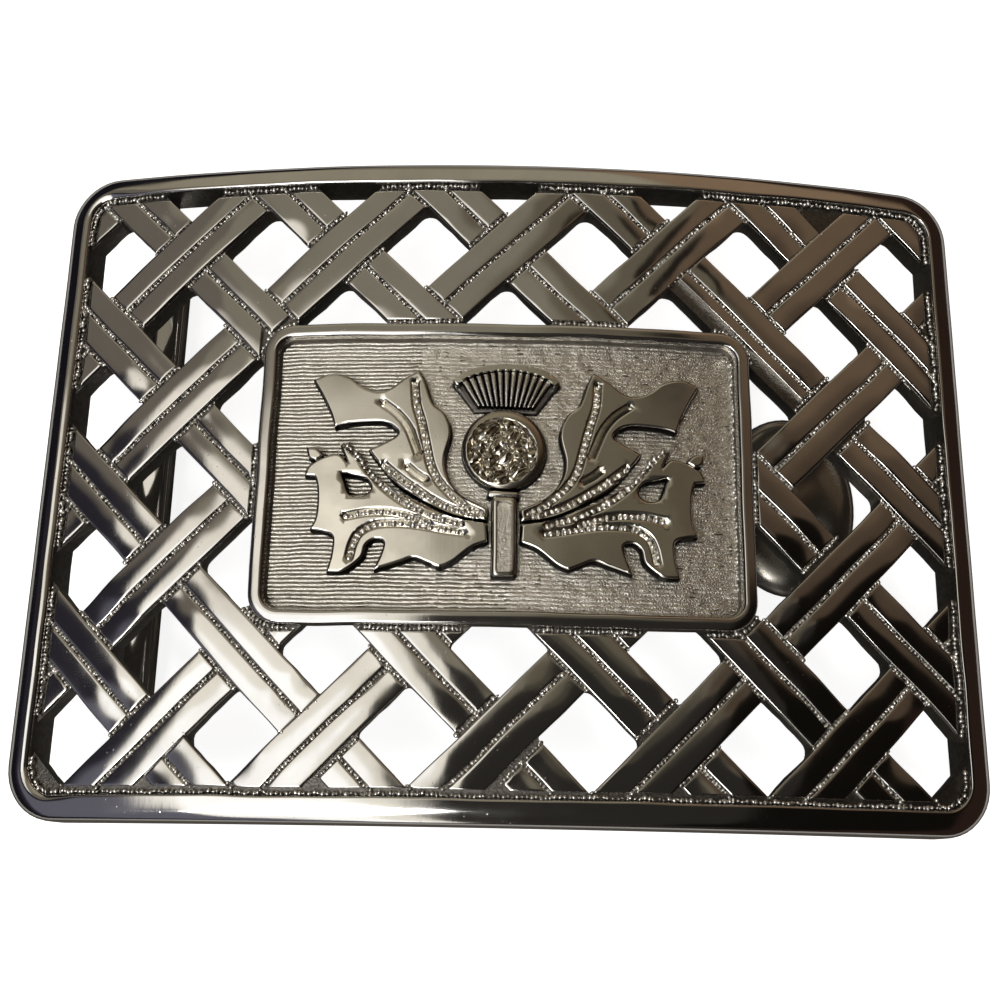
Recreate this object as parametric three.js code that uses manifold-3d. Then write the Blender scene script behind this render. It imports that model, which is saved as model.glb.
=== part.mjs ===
// Kilt belt buckle: a bowed, pierced metal casting with a woven lattice, a rim and a thistle plaque,
// a belt bar behind its left end and a round hook stud behind its right end.
// Millimetres, +Z up. The buckle lies on its back, its front facing up, +X to the right, +Y to its top edge.
// The origin is under the middle of the casting, on the plane that the bar and the stud rest on.
import * as THREE from 'three';
import { mergeVertices } from 'three/addons/utils/BufferGeometryUtils.js';
import Module from 'manifold-3d';

const wasm = await Module();
wasm.setup();

// Casting as a whole
const plateWidth = 92; // measured along the bow
const plateHeight = 65.4;
const plateThickness = 3.2; // from the top of the straps to the back
const bowRise = 5.7; // how far the middle stands above the two ends
const crownHeight = 16.4; // top of the straps at the middle, above the resting plane
const facetLength = 9.3; // longest flat along the bow
const cutShift = 0.05; // share of a flat that the cuts lie off the middle, where upright faces are

// Rim
const rimWidth = 2.4;
const rimCrown = 0.4; // above the straps
const rimBack = 3.5; // below the top of the straps
const rimRadius = 5;
const rimEase = 0.4; // softened edges
const rimBevel = 0.9; // width of the slope between the rim's side and its polished face
const channelWidth = 0.75; // lowered line between the rim and the strap ends

// Woven lattice of straps at 45 degrees
const strapPitch = 16.12; // from one crossing to the next along X, and along Y
const strapWidth = 5;
const bandWidth = 2.15; // two polished bands lie on each strap
const bandHeight = 0.5;
const bandSlope = 0.2; // how far a band's sides lean in
const strapEndGap = 0.35; // from a strap's end to the strap that it passes under
const crossingRise = 7.24; // height of the middle row of crossings above the plate's middle line
const crossingShift = -0.15;
const wedgeFill = 4.2; // half width of the small blind pockets along the bottom rim and at the top right
const smallMouth = 1.8; // half width of the solid that narrows the middle pocket along the top rim
// How far each strap that rises to the right strays from the even pitch, as a share of its width
const strayShares = {
  '-4': -0.05, '-3': -0.086, '-2': 0.02, '-1': 0.066, 0: -0.04, 1: -0.02, 2: 0.014, 3: 0.05 };

// Plaque
const plaqueWidth = 47.4;
const plaqueHeight = 29.8;
const plaqueRadius = 3;
const plaqueRimWidth = 1.6;
const plaqueCrown = 0.5; // above the straps
const plaqueSlope = 0.4; // width of the slopes at both sides of the border's polished face
const fieldDepth = 0.9; // the field below the top of the straps
const ledgeWidth = 0.55; // lowered line between the plaque and the strap ends

// Thistle, all heights above the field
const emblemReach = 20; // unit of the shares across
const emblemRise = 10; // unit of the shares up
const leafHeight = 1.1;
const veinDepth = 0.45;
const veinWidth = 0.7;
const tuftHeight = 0.75;
const tuftBandHeight = 1.1;
const tuftEdgeInset = { u: 0.012, v: 0.02 }; // in shares of the reach and of the rise
const ribWidth = 0.42;
const ribCount = 12;
const ballRadius = 4.1;
const ballHeight = 1.5;
const ballFoot = 0.35; // height of the ball's upright side
const ballCentre = { u: -0.1, v: 2.3 };
const scaleHeight = 0.3; // above the ball
const scaleLength = 1.72;
const scaleWidth = 0.98;
const scaleSlope = 0.25;
const scaleFan = 0.6; // how far the scales turn outwards, in radians for one radius across
const stemWidth = 2.1;
const stemTop = -2.9;
const stemFoot = -10.5;
const stemHeight = 1.25;

// Belt bar, with a post at each end
const barWidth = 3.9;
const barThickness = 3.2;
const barSideBulge = 1.2; // how far the bar's round sides stand out past its flat faces
const barInset = 9.2; // from the casting's left end to the middle of the bar
const beltWidth = 57; // the leather belt that passes between the posts
const beltPlay = 0.4;
const postCorner = 2.6; // radius of the bends between the bar and its posts
const seatGap = 0.3; // clearance between separate pieces
const padHeight = 0.6; // the seat under each post and under the stud, below the casting's back
const padMargin = 0.15;

// Hook stud: an upright oval button whose neck stands towards the middle of the buckle
const studInset = 16.4; // from the casting's right end to the middle of the button
const studRise = 1.4; // middle of the button above the casting's middle line
const studHalfWidth = 7.1;
const studHalfHeight = 9.7;
const studThickness = 3;
const studRestShare = 0.55; // flat underside, as a share of the button
const studSides = 28;
const neckShift = { x: -3.3, y: -0.5 }; // from the button's middle to the neck's
const neckRadius = 2;
const neckSides = 14;

const halfWidth = plateWidth / 2;
const halfHeight = plateHeight / 2;
const barCentreX = barInset - halfWidth;
const studCentre = { x: halfWidth - studInset, y: studRise };
const neckCentre = { x: studCentre.x + neckShift.x, y: studCentre.y + neckShift.y };
const bowRadius = (halfWidth * halfWidth + bowRise * bowRise) / (2 * bowRise);
const strapTop = 0;
const baseTop = strapTop - bandHeight;
const back = strapTop - plateThickness;
const fieldTop = strapTop - fieldDepth;
const buried = 0.3; // how far a raised form reaches into what carries it
const mergeDistance = 1e-5;
const planeTolerance = 2e-5;
const seamTolerance = 1e-3;
const diagonal = Math.SQRT1_2;

// Leaf outlines: share of the reach, share of the rise, and 1 at a sharp tip or 0 on a smooth stretch
const upperLeaf = [
  [0.42, 1.0, 1], [0.5, 0.9, 0], [0.56, 0.81, 0], [0.62, 0.78, 0], [0.69, 0.83, 0], [0.76, 0.93, 0],
  [0.85, 0.97, 0], [0.935, 0.91, 1], [0.89, 0.76, 0], [0.84, 0.56, 0], [0.82, 0.43, 1], [0.74, 0.47, 0],
  [0.6, 0.48, 0], [0.53, 0.42, 0], [0.52, 0.33, 0], [0.645, 0.19, 1], [0.56, 0.04, 0], [0.45, -0.11, 0],
  [0.3, -0.33, 0], [0.1, -0.5, 1], [0.075, -0.38, 1], [0.2, -0.25, 0], [0.265, -0.09, 0], [0.285, 0.1, 0],
  [0.26, 0.36, 0], [0.29, 0.55, 0], [0.35, 0.66, 0], [0.39, 0.88, 0]];
const lowerLeaf = [
  [0.79, 0.27, 1], [0.73, 0.17, 0], [0.66, 0.02, 0], [0.52, -0.18, 0], [0.3, -0.38, 0], [0.1, -0.51, 1],
  [0.075, -0.7, 1], [0.15, -0.76, 0], [0.24, -0.9, 0], [0.3, -0.95, 1], [0.36, -0.9, 0], [0.42, -0.86, 0],
  [0.48, -0.9, 0], [0.6, -0.98, 1], [0.57, -0.83, 0], [0.56, -0.71, 0], [0.6, -0.68, 0], [0.64, -0.74, 0],
  [0.66, -0.87, 0], [0.74, -0.99, 0], [0.82, -1.0, 1], [0.8, -0.84, 0], [0.8, -0.66, 0], [0.85, -0.61, 0],
  [0.91, -0.59, 1], [0.885, -0.45, 0], [0.885, -0.2, 0], [0.9, -0.07, 1], [0.95, -0.06, 1], [0.93, 0.04, 0],
  [0.86, 0.13, 0], [0.79, 0.15, 0], [0.745, 0.06, 1]];
const leafPocket = [
  [0.77, -0.04, 0], [0.72, -0.06, 0], [0.65, -0.1, 0], [0.63, -0.2, 0], [0.67, -0.27, 0], [0.73, -0.25, 0],
  [0.755, -0.14, 0]];
const sprig = [[0.95, 0.22, 1], [0.9, 0.21, 0], [0.865, 0.14, 1], [0.9, 0.09, 1], [0.935, 0.12, 0]];
// Veins: share of the reach and share of the rise of each bend, from the outer end to the stem
const veins = [
  [[0.59, 0.68], [0.52, 0.6], [0.45, 0.38], [0.4, 0.15], [0.36, -0.08]],
  [[0.435, 0.86], [0.42, 0.5], [0.37, 0.2], [0.33, -0.05], [0.26, -0.23], [0.14, -0.4]],
  [[0.46, 0.02], [0.38, -0.14], [0.28, -0.28], [0.16, -0.4]],
  [[0.74, 0.15], [0.65, 0.0], [0.55, -0.19], [0.42, -0.34], [0.28, -0.46], [0.15, -0.52]],
  [[0.745, -0.45], [0.6, -0.43], [0.45, -0.46], [0.3, -0.54], [0.18, -0.6]],
  [[0.715, -0.84], [0.69, -0.66], [0.62, -0.55], [0.48, -0.53], [0.32, -0.56], [0.18, -0.63]]];
// Tuft: share of the reach and share of the rise of its right half, from the neck up and over
const tuftSide = [[0.13, 0.62, 1], [0.26, 0.9, 1], [0.23, 1.0, 0], [0.14, 1.07, 0], [0, 1.105, 0]];
const tuftRibFoot = { u: 0.12, v: 0.64 };
const tuftRibHead = { u: 0.205, v: 0.98, arch: 0.04 };
// Scales on the ball: row's share of the ball's radius above its centre, and how many lie in the row
const scaleRows = [[0.55, 3], [0.15, 4], [-0.28, 3], [-0.66, 2]];
const scaleSpread = 0.8; // how far a row reaches towards the ball's outline
// Sections of the button: share of its outline, share of its thickness
const studSections = [
  [studRestShare, 0], [0.88, 0.14], [0.97, 0.3], [1, 0.5], [0.97, 0.68], [0.88, 0.82], [0.7, 0.93], [0.5, 1]];
// Sections of the neck's flared foot: share of its radius, height above the button as a share of the radius
const neckSections = [[1.5, 0.12], [1.12, 0.4], [1, 0.8]];

// Triangles of a merged geometry that still have three corners
function wholeTriangles(merged) {
  const corners = Array.from(merged.index.array);
  const triangles = [];
  for (let i = 0; i < corners.length; i += 3) {
    const face = corners.slice(i, i + 3);
    if (new Set(face).size === 3) {
      triangles.push(face);
    }
  }
  return triangles;
}

function toSolid(geometry) {
  const bare = geometry.clone();
  bare.deleteAttribute('normal');
  bare.deleteAttribute('uv');
  const merged = mergeVertices(bare, mergeDistance);
  const vertProperties = new Float32Array(merged.attributes.position.array);
  const triangles = wholeTriangles(merged);
  const build = (faces) => new wasm.Manifold(
    new wasm.Mesh({ numProp: 3, vertProperties, triVerts: new Uint32Array(faces.flat()) }));
  const solid = build(triangles);
  return solid.volume() < 0 ? build(triangles.map(([a, b, c]) => [a, c, b])) : solid;
}

function indexedGeometry(positions, triangles) {
  const geometry = new THREE.BufferGeometry();
  geometry.setAttribute('position', new THREE.Float32BufferAttribute(positions, 3));
  geometry.setIndex(triangles);
  return geometry;
}

// Joins solids into one whose flat faces are whole again
function join(solids) {
  const { vertProperties, triVerts } = solids.reduce((sum, solid) => sum.add(solid)).getMesh();
  return new wasm.Manifold(new wasm.Mesh({ numProp: 3, vertProperties, triVerts }));
}

// Skin over loops of equal length. A ring's loops close on themselves, a bar's end in caps.
function loft(loops, ring) {
  const count = loops[0].length;
  const positions = loops.flat(2);
  const triangles = [];
  const spans = ring ? loops.length : loops.length - 1;
  for (let i = 0; i < spans; i += 1) {
    const near = i * count;
    const far = ((i + 1) % loops.length) * count;
    for (let k = 0; k < count; k += 1) {
      const next = (k + 1) % count;
      triangles.push(near + k, near + next, far + next, near + k, far + next, far + k);
    }
  }
  if (!ring) {
    const last = (loops.length - 1) * count;
    for (let k = 1; k < count - 1; k += 1) {
      triangles.push(0, k + 1, k, last, last + k, last + k + 1);
    }
  }
  return indexedGeometry(positions, triangles);
}

function roundedRectangle(width, height, radius, w, steps = 5) {
  const points = [];
  const corners = [[1, 1, 0], [-1, 1, 1], [-1, -1, 2], [1, -1, 3]];
  for (const [sideU, sideV, quarter] of corners) {
    for (let i = 0; i <= steps; i += 1) {
      const angle = (quarter + i / steps) * Math.PI / 2;
      points.push([
        sideU * (width / 2 - radius) + radius * Math.cos(angle),
        sideV * (height / 2 - radius) + radius * Math.sin(angle),
        w]);
    }
  }
  return points;
}

// A frame whose section is given as pairs: how far in from the outline, and the height
function frameRing(width, height, radius, section) {
  const loops = section.map(([inset, w]) => (
    roundedRectangle(width - 2 * inset, height - 2 * inset, radius - inset, w)));
  return toSolid(loft(loops.reverse(), true));
}

function prism(points, low, high) {
  const shape = new THREE.Shape(points.map(([u, v]) => new THREE.Vector2(u, v)));
  const geometry = new THREE.ExtrudeGeometry(shape, { depth: high - low, bevelEnabled: false });
  geometry.translate(0, 0, low);
  return toSolid(geometry);
}

function roundedPrism(width, height, radius, low, high) {
  return prism(roundedRectangle(width, height, radius, 0).map(([u, v]) => [u, v]), low, high);
}

// A bar whose foot is a rectangle and whose sides lean in to its top. It lies along a direction in the plane.
function leaningBar(centre, direction, length, width, low, high, lean) {
  const across = [-direction[1], direction[0]];
  const corner = (along, side, w) => [
    centre[0] + along * direction[0] + side * across[0],
    centre[1] + along * direction[1] + side * across[1],
    w];
  const level = (w, inset) => [[-1, -1], [1, -1], [1, 1], [-1, 1]].map(([a, s]) => (
    corner(a * (length / 2 - inset), s * (width / 2 - inset), w)));
  return toSolid(loft([level(low, 0), level(high, lean)], false));
}

// Points of an outline: straight runs between tips that touch, curves where smooth points lie between
function outlinePoints(table, side, centre = 0, steps = 2) {
  const place = ([u, v]) => new THREE.Vector2(centre + side * u * emblemReach, v * emblemRise);
  const tips = table.flatMap(([, , tip], index) => (tip ? [index] : []));
  if (tips.length === 0) {
    const ring = table.map(place);
    const loop = new THREE.CatmullRomCurve3(ring.map((p) => new THREE.Vector3(p.x, p.y, 0)), true);
    return loop.getPoints(table.length * steps).slice(0, -1).map((p) => [p.x, p.y]);
  }
  const points = [];
  tips.forEach((start, order) => {
    const end = order + 1 < tips.length ? tips[order + 1] : tips[0] + table.length;
    const run = [];
    for (let i = start; i <= end; i += 1) {
      run.push(place(table[i % table.length]));
    }
    const curve = new THREE.SplineCurve(run);
    const pieces = run.length === 2 ? 1 : (run.length - 1) * steps;
    points.push(...curve.getPoints(pieces).slice(0, -1).map((p) => [p.x, p.y]));
  });
  return points;
}

// A strip of even width along a curve, as one prism
function strip(table, side, width, low, high) {
  const places = table.map(([u, v]) => new THREE.Vector2(side * u * emblemReach, v * emblemRise));
  const curve = new THREE.SplineCurve(places);
  const stations = table.length + 2;
  const left = [];
  const right = [];
  for (let i = 0; i <= stations; i += 1) {
    const point = curve.getPoint(i / stations);
    const ahead = curve.getTangent(i / stations);
    left.push([point.x - ahead.y * width / 2, point.y + ahead.x * width / 2]);
    right.push([point.x + ahead.y * width / 2, point.y - ahead.x * width / 2]);
  }
  return prism([...left, ...right.reverse()], low, high);
}

function crossing(rising, falling) {
  const stray = (strayShares[rising] ?? 0) * strapWidth;
  const risingLine = rising * strapPitch + crossingRise - crossingShift + stray;
  const fallingLine = falling * strapPitch + crossingRise + crossingShift;
  return [(fallingLine - risingLine) / 2, (fallingLine + risingLine) / 2];
}

// Straps are numbered outwards from the middle row.
// A rising strap lies on top where both numbers make an even sum.
function woven() {
  const reach = Math.ceil((plateWidth + plateHeight) / 2 / strapPitch);
  const long = (plateWidth + plateHeight) * 1.2;
  const rise = [diagonal, diagonal];
  const fall = [diagonal, -diagonal];
  const bandOffset = (strapWidth - bandWidth) / 2;
  const unitLength = 2 * strapPitch * diagonal - strapWidth - 2 * strapEndGap;
  const straps = [];
  const bands = [];
  for (let i = -reach; i <= reach; i += 1) {
    straps.push(leaningBar(crossing(i, -i), rise, long, strapWidth, back, baseTop, 0));
    straps.push(leaningBar(crossing(-i, i), fall, long, strapWidth, back, baseTop, 0));
    for (let k = -reach; k <= reach; k += 1) {
      const [u, v] = crossing(i, k);
      const direction = (i + k) % 2 === 0 ? rise : fall;
      if (Math.abs(u) < halfWidth + strapPitch && Math.abs(v) < halfHeight + strapPitch) {
        for (const offset of [-bandOffset, bandOffset]) {
          const centre = [u - offset * direction[1], v + offset * direction[0]];
          bands.push(leaningBar(
            centre, direction, unitLength, bandWidth, baseTop - buried, strapTop, bandSlope));
        }
      }
    }
  }
  return { straps: join(straps), bands: join(bands) };
}

// Blind pockets: the casting closes the half openings along the bottom rim and the last one along the top
function pocketFills() {
  const columns = [-2, -1, 0, 1, 2];
  const blind = columns.map((column) => [column * strapPitch + crossingShift, -halfHeight, wedgeFill]);
  blind.push([2 * strapPitch + crossingShift, halfHeight, wedgeFill]);
  return join(blind.map(([u, v, half]) => {
    const inner = v - Math.sign(v) * (rimWidth + half);
    return prism([[u - half, v], [u + half, v], [u + half, inner], [u - half, inner]], back, baseTop);
  }));
}

// Two solids leave the middle pocket along the top rim a narrow mouth
function mouthFills() {
  const inner = halfHeight - rimWidth;
  const fills = [-1, 1].map((side) => prism([
    [side * smallMouth, inner + buried],
    [side * 2 * smallMouth, inner - smallMouth],
    [side * 3 * smallMouth, inner + buried]], back, baseTop));
  return join(fills);
}

function rim() {
  const section = [
    [rimEase, -rimBack], [0, rimEase - rimBack], [0, -rimBevel], [rimBevel / 3, -rimEase / 2],
    [rimBevel, rimCrown], [rimWidth - rimBevel, rimCrown], [rimWidth - rimEase / 2, strapTop],
    [rimWidth, baseTop], [rimWidth, -rimBack]];
  return frameRing(plateWidth, plateHeight, rimRadius, section);
}

function plaque() {
  const border = frameRing(plaqueWidth, plaqueHeight, plaqueRadius, [
    [0, back], [0, -plaqueSlope / 2], [plaqueSlope, plaqueCrown], [plaqueRimWidth - plaqueSlope, plaqueCrown],
    [plaqueRimWidth, -plaqueSlope / 2], [plaqueRimWidth, back]]);
  const field = roundedPrism(plaqueWidth - plaqueRimWidth, plaqueHeight - plaqueRimWidth,
    plaqueRadius - plaqueRimWidth / 2, back, fieldTop);
  return border.add(field);
}

function leaves(side) {
  const high = fieldTop + leafHeight;
  const outlines = [upperLeaf, lowerLeaf, sprig].map((table) => outlinePoints(table, side));
  const body = outlines.map((outline) => prism(outline, fieldTop - buried, high));
  const pocket = prism(outlinePoints(leafPocket, side), fieldTop, high + buried);
  const cuts = veins.map((table) => strip(table, side, veinWidth, high - veinDepth, high + buried));
  return join(body).subtract(join([pocket, ...cuts]));
}

// A fan of ribs over a flat ground, under an arched edge
function tuft() {
  const otherSide = tuftSide.slice(0, -1).reverse().map(([u, v, tip]) => [-u, v, tip]);
  const outline = outlinePoints([...tuftSide, ...otherSide], 1);
  const ground = prism(outline, fieldTop - buried, fieldTop + tuftHeight);
  const rightEdge = tuftSide.slice(1).map(([u, v]) => [u - tuftEdgeInset.u, v - tuftEdgeInset.v]);
  const leftEdge = rightEdge.slice(0, -1).reverse().map(([u, v]) => [-u, v]);
  const edge = strip([...rightEdge, ...leftEdge], 1, veinWidth, fieldTop, fieldTop + tuftBandHeight);
  const ribs = [];
  for (let i = 0; i < ribCount; i += 1) {
    const share = ((i + 0.5) / ribCount) * 2 - 1;
    const foot = [share * tuftRibFoot.u * emblemReach, tuftRibFoot.v * emblemRise];
    const headRise = tuftRibHead.v + tuftRibHead.arch * (1 - share * share);
    const head = [share * tuftRibHead.u * emblemReach, headRise * emblemRise];
    const length = Math.hypot(head[0] - foot[0], head[1] - foot[1]);
    const direction = [(head[0] - foot[0]) / length, (head[1] - foot[1]) / length];
    const middle = [(foot[0] + head[0]) / 2, (foot[1] + head[1]) / 2];
    const high = fieldTop + tuftBandHeight;
    ribs.push(leaningBar(middle, direction, length, ribWidth, fieldTop, high, ribWidth / 4));
  }
  return join([ground, edge, ...ribs]);
}

// Height of the ball above the field, at a share of its radius from its middle
function ballRise(share) {
  return ballFoot + (ballHeight - ballFoot) * Math.sqrt(Math.max(0, 1 - share * share));
}

function ball() {
  const steps = 4;
  const foot = fieldTop - buried;
  const profile = [new THREE.Vector2(0, foot), new THREE.Vector2(ballRadius, foot)];
  for (let i = 0; i < steps; i += 1) {
    const share = Math.cos((i / steps) * Math.PI / 2);
    profile.push(new THREE.Vector2(ballRadius * share, fieldTop + ballRise(share)));
  }
  profile.push(new THREE.Vector2(0, fieldTop + ballRise(0)));
  const dome = toSolid(new THREE.LatheGeometry(profile, 5 * steps).rotateX(Math.PI / 2)
    .translate(ballCentre.u, ballCentre.v, 0));
  const scales = scaleRows.flatMap(([row, count]) => {
    const half = Math.sqrt(1 - row * row) * scaleSpread;
    return Array.from({ length: count }, (_, i) => {
      const across = ((i / (count - 1)) * 2 - 1) * half;
      const top = fieldTop + ballRise(Math.hypot(row, across)) + scaleHeight;
      const centre = [ballCentre.u + across * ballRadius, ballCentre.v + row * ballRadius];
      const direction = [-Math.sin(across * scaleFan), Math.cos(across * scaleFan)];
      return leaningBar(centre, direction, scaleLength, scaleWidth, fieldTop, top, scaleSlope);
    });
  });
  return join([dome, ...scales]);
}

function stem() {
  const length = stemTop - stemFoot;
  const middle = [0, stemFoot + length / 2];
  return leaningBar(middle, [0, 1], length, stemWidth, fieldTop - buried, fieldTop + stemHeight, scaleSlope);
}

function bowHeight(u, w) {
  return (bowRadius + w) * Math.cos(u / bowRadius) - bowRadius + crownHeight;
}

// Where two flats' sections differ by a sliver at their seam, the opening between them gets faces of its own
function closeSlivers(skin) {
  const corners = wholeTriangles(skin);
  const edges = new Set();
  corners.forEach((face) => face.forEach((from, k) => edges.add(`${from} ${face[(k + 1) % 3]}`)));
  const onward = new Map();
  for (const edge of edges) {
    const [from, to] = edge.split(' ').map(Number);
    if (!edges.has(`${to} ${from}`)) {
      onward.set(to, from);
    }
  }
  while (onward.size > 0) {
    const loop = [];
    let [vertex] = onward.keys();
    while (onward.has(vertex)) {
      loop.push(vertex);
      const next = onward.get(vertex);
      onward.delete(vertex);
      vertex = next;
    }
    for (let k = 1; k < loop.length - 1; k += 1) {
      corners.push([loop[0], loop[k], loop[k + 1]]);
    }
  }
  skin.setIndex(corners.flat());
  return skin;
}

// Corners of a face, with every seam point that lies on one of its edges along a cut put in between
function facePolygon(face, seams) {
  return face.flatMap((from, k) => {
    const to = face[(k + 1) % 3];
    const seam = from.cut !== undefined && from.cut === to.cut ? seams.get(from.cut) : [];
    const length = Math.hypot(to.v - from.v, to.w - from.w);
    const ahead = { v: (to.v - from.v) / length, w: (to.w - from.w) / length };
    const between = seam.map((point) => {
      const offset = { v: point.v - from.v, w: point.w - from.w };
      const along = offset.v * ahead.v + offset.w * ahead.w;
      return { point, along, off: Math.abs(offset.v * ahead.w - offset.w * ahead.v) };
    }).filter(({ along, off }) => (
      off < seamTolerance && along > seamTolerance && along < length - seamTolerance));
    between.sort((one, other) => one.along - other.along);
    return [from, ...between.map(({ point }) => point)];
  });
}

// The corner that a face's triangles fan out from lies on no cut with another corner, so none of them is flat
function fanCorner(polygon) {
  if (polygon.length === 3) {
    return 0;
  }
  return polygon.findIndex(({ cut }) => (
    cut === undefined || polygon.filter((point) => point.cut === cut).length === 1));
}

// Bends the flat casting: it is cut into flats across X, and their skins meet again edge to edge on the curve
function bow(flat) {
  const flats = Math.ceil(plateWidth / facetLength);
  const cutAt = (i) => -halfWidth + ((i + cutShift) * plateWidth) / flats;
  const seams = new Map();
  const settle = (u, v, w, cuts) => {
    const cut = cuts.find((plane) => Math.abs(u - plane) < planeTolerance);
    if (cut === undefined) {
      return { u, v, w };
    }
    const seam = seams.get(cut) ?? seams.set(cut, []).get(cut);
    const known = seam.find((p) => Math.hypot(p.v - v, p.w - w) < seamTolerance);
    return known ?? seam[seam.push({ u: cut, v, w, cut }) - 1];
  };
  const faces = [];
  for (let i = 0; i < flats; i += 1) {
    const from = i === 0 ? -plateWidth : cutAt(i);
    const to = i === flats - 1 ? plateWidth : cutAt(i + 1);
    const box = new THREE.BoxGeometry(to - from, 2 * plateHeight, 4 * plateThickness);
    const slab = toSolid(box.translate((from + to) / 2, 0, 0));
    const { vertProperties, triVerts } = flat.intersect(slab).getMesh();
    const points = [];
    for (let k = 0; k < vertProperties.length; k += 3) {
      points.push(settle(vertProperties[k], vertProperties[k + 1], vertProperties[k + 2], [from, to]));
    }
    for (let k = 0; k < triVerts.length; k += 3) {
      const face = [points[triVerts[k]], points[triVerts[k + 1]], points[triVerts[k + 2]]];
      const isCutFace = face.every(({ cut }) => cut !== undefined && cut === face[0].cut);
      if (!isCutFace) {
        faces.push(face);
      }
    }
  }
  const positions = [];
  for (const face of faces) {
    const polygon = facePolygon(face, seams);
    const apex = fanCorner(polygon);
    for (let k = 1; k < polygon.length - 1; k += 1) {
      for (const step of [0, k, k + 1]) {
        const { u, v, w } = polygon[(apex + step) % polygon.length];
        positions.push((bowRadius + w) * Math.sin(u / bowRadius), v, bowHeight(u, w));
      }
    }
  }
  const skin = new THREE.BufferGeometry();
  skin.setAttribute('position', new THREE.Float32BufferAttribute(positions, 3));
  return toSolid(closeSlivers(mergeVertices(skin, mergeDistance)));
}

// Height of the flat seat under the casting's back, above a piece at this place along X
function seatLevel(x) {
  return bowHeight(x, back) - padHeight;
}

// A flat seat of the same outline as the piece that stands under it
function seatPad(outline, centre) {
  const low = seatLevel(centre.x);
  const grown = outline.map(([x, y]) => {
    const reach = Math.hypot(x, y);
    return [centre.x + x * (1 + padMargin / reach), centre.y + y * (1 + padMargin / reach)];
  });
  return prism(grown, low, low + padHeight + plateThickness / 2);
}

function circle(radius, sides) {
  return Array.from({ length: sides }, (_, k) => {
    const angle = (k / sides) * 2 * Math.PI;
    return [radius * Math.cos(angle), radius * Math.sin(angle)];
  });
}

const postY = (beltWidth + beltPlay + barThickness) / 2;

function casting() {
  const { straps, bands } = woven();
  const inside = roundedPrism(
    plateWidth - rimWidth, plateHeight - rimWidth, rimRadius - rimWidth / 2, back, strapTop);
  const margin = rimWidth + channelWidth;
  const weaveRoom = roundedPrism(
    plateWidth - 2 * margin, plateHeight - 2 * margin, rimRadius - margin, back, strapTop + buried);
  const plaqueRoom = roundedPrism(
    plaqueWidth + 2 * ledgeWidth, plaqueHeight + 2 * ledgeWidth, plaqueRadius + ledgeWidth,
    back - buried, strapTop + buried);
  const base = join([straps, pocketFills(), mouthFills()]).intersect(inside);
  const weave = bands.intersect(weaveRoom).subtract(plaqueRoom);
  const emblem = join([leaves(-1), leaves(1), tuft(), ball(), stem()]);
  const flat = join([rim(), base, weave, plaque(), emblem]);
  const pads = [
    seatPad(barSection(), { x: barCentreX, y: postY }),
    seatPad(barSection(), { x: barCentreX, y: -postY }),
    seatPad(circle(neckRadius, neckSides), neckCentre)];
  return join([bow(flat), ...pads]);
}

// The bar's section: flat above and below, round at the sides
function barSection() {
  const radius = barThickness / 2;
  const flatHalf = barWidth / 2 - barSideBulge;
  const steps = 4;
  const side = (turn) => Array.from({ length: steps + 1 }, (_, i) => {
    const angle = (i / steps - 0.5) * Math.PI;
    return [turn * (flatHalf + barSideBulge * Math.cos(angle)), turn * radius * Math.sin(angle)];
  });
  return [...side(1), ...side(-1)];
}

function beltBar() {
  const section = barSection();
  const axis = barThickness / 2;
  const top = seatLevel(barCentreX) - seatGap;
  const steps = 3;
  const stations = [{ y: postY, z: top, turn: Math.PI / 2 }];
  for (const side of [1, -1]) {
    for (let i = 0; i <= steps; i += 1) {
      const turn = side > 0 ? (1 - i / steps) * Math.PI / 2 : -(i / steps) * Math.PI / 2;
      stations.push({
        y: side * (postY - postCorner) + postCorner * Math.sin(turn),
        z: axis + postCorner * (1 - Math.cos(turn)),
        turn });
    }
  }
  stations.push({ y: -postY, z: top, turn: -Math.PI / 2 });
  const loops = stations.map(({ y, z, turn }) => section.map(([across, up]) => [
    barCentreX + across, y - up * Math.sin(turn), z + up * Math.cos(turn)]));
  return loft(loops, false);
}

function hookStud() {
  const ring = (centre, halfWidth, halfHeight, z) => circle(1, studSides).map(([x, y]) => (
    [centre.x + halfWidth * x, centre.y + halfHeight * y, z]));
  const button = studSections.map(([share, height]) => (
    ring(studCentre, studHalfWidth * share, studHalfHeight * share, studThickness * height)));
  const neck = neckSections.map(([share, height]) => (
    ring(neckCentre, neckRadius * share, neckRadius * share, studThickness + neckRadius * height)));
  const top = seatLevel(neckCentre.x) - seatGap;
  neck.push(ring(neckCentre, neckRadius, neckRadius, top));
  return loft([...button, ...neck], false);
}

function outward(solid) {
  const mesh = solid.getMesh();
  return indexedGeometry(Array.from(mesh.vertProperties), Array.from(mesh.triVerts));
}

function piece(name, geometry, material) {
  geometry.computeVertexNormals();
  const mesh = new THREE.Mesh(geometry, material);
  mesh.name = name;
  return mesh;
}

const chromedCasting = new THREE.MeshStandardMaterial({ color: 0xa8a59c, roughness: 0.12, metalness: 1 });
const chromedBar = new THREE.MeshStandardMaterial({ color: 0x9a9a9c, roughness: 0.16, metalness: 1 });
const chromedStud = new THREE.MeshStandardMaterial({ color: 0x9c978e, roughness: 0.22, metalness: 1 });

const buckle = new THREE.Group();
buckle.add(piece('lattice_plate', outward(casting()), chromedCasting));
buckle.add(piece('belt_bar', outward(toSolid(beltBar())), chromedBar));
buckle.add(piece('hook_stud', outward(toSolid(hookStud())), chromedStud));

export default buckle;
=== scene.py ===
import math

import bmesh
import bpy
import numpy as np
from mathutils import Euler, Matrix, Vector, noise
from mathutils.geometry import delaunay_2d_cdt


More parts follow.
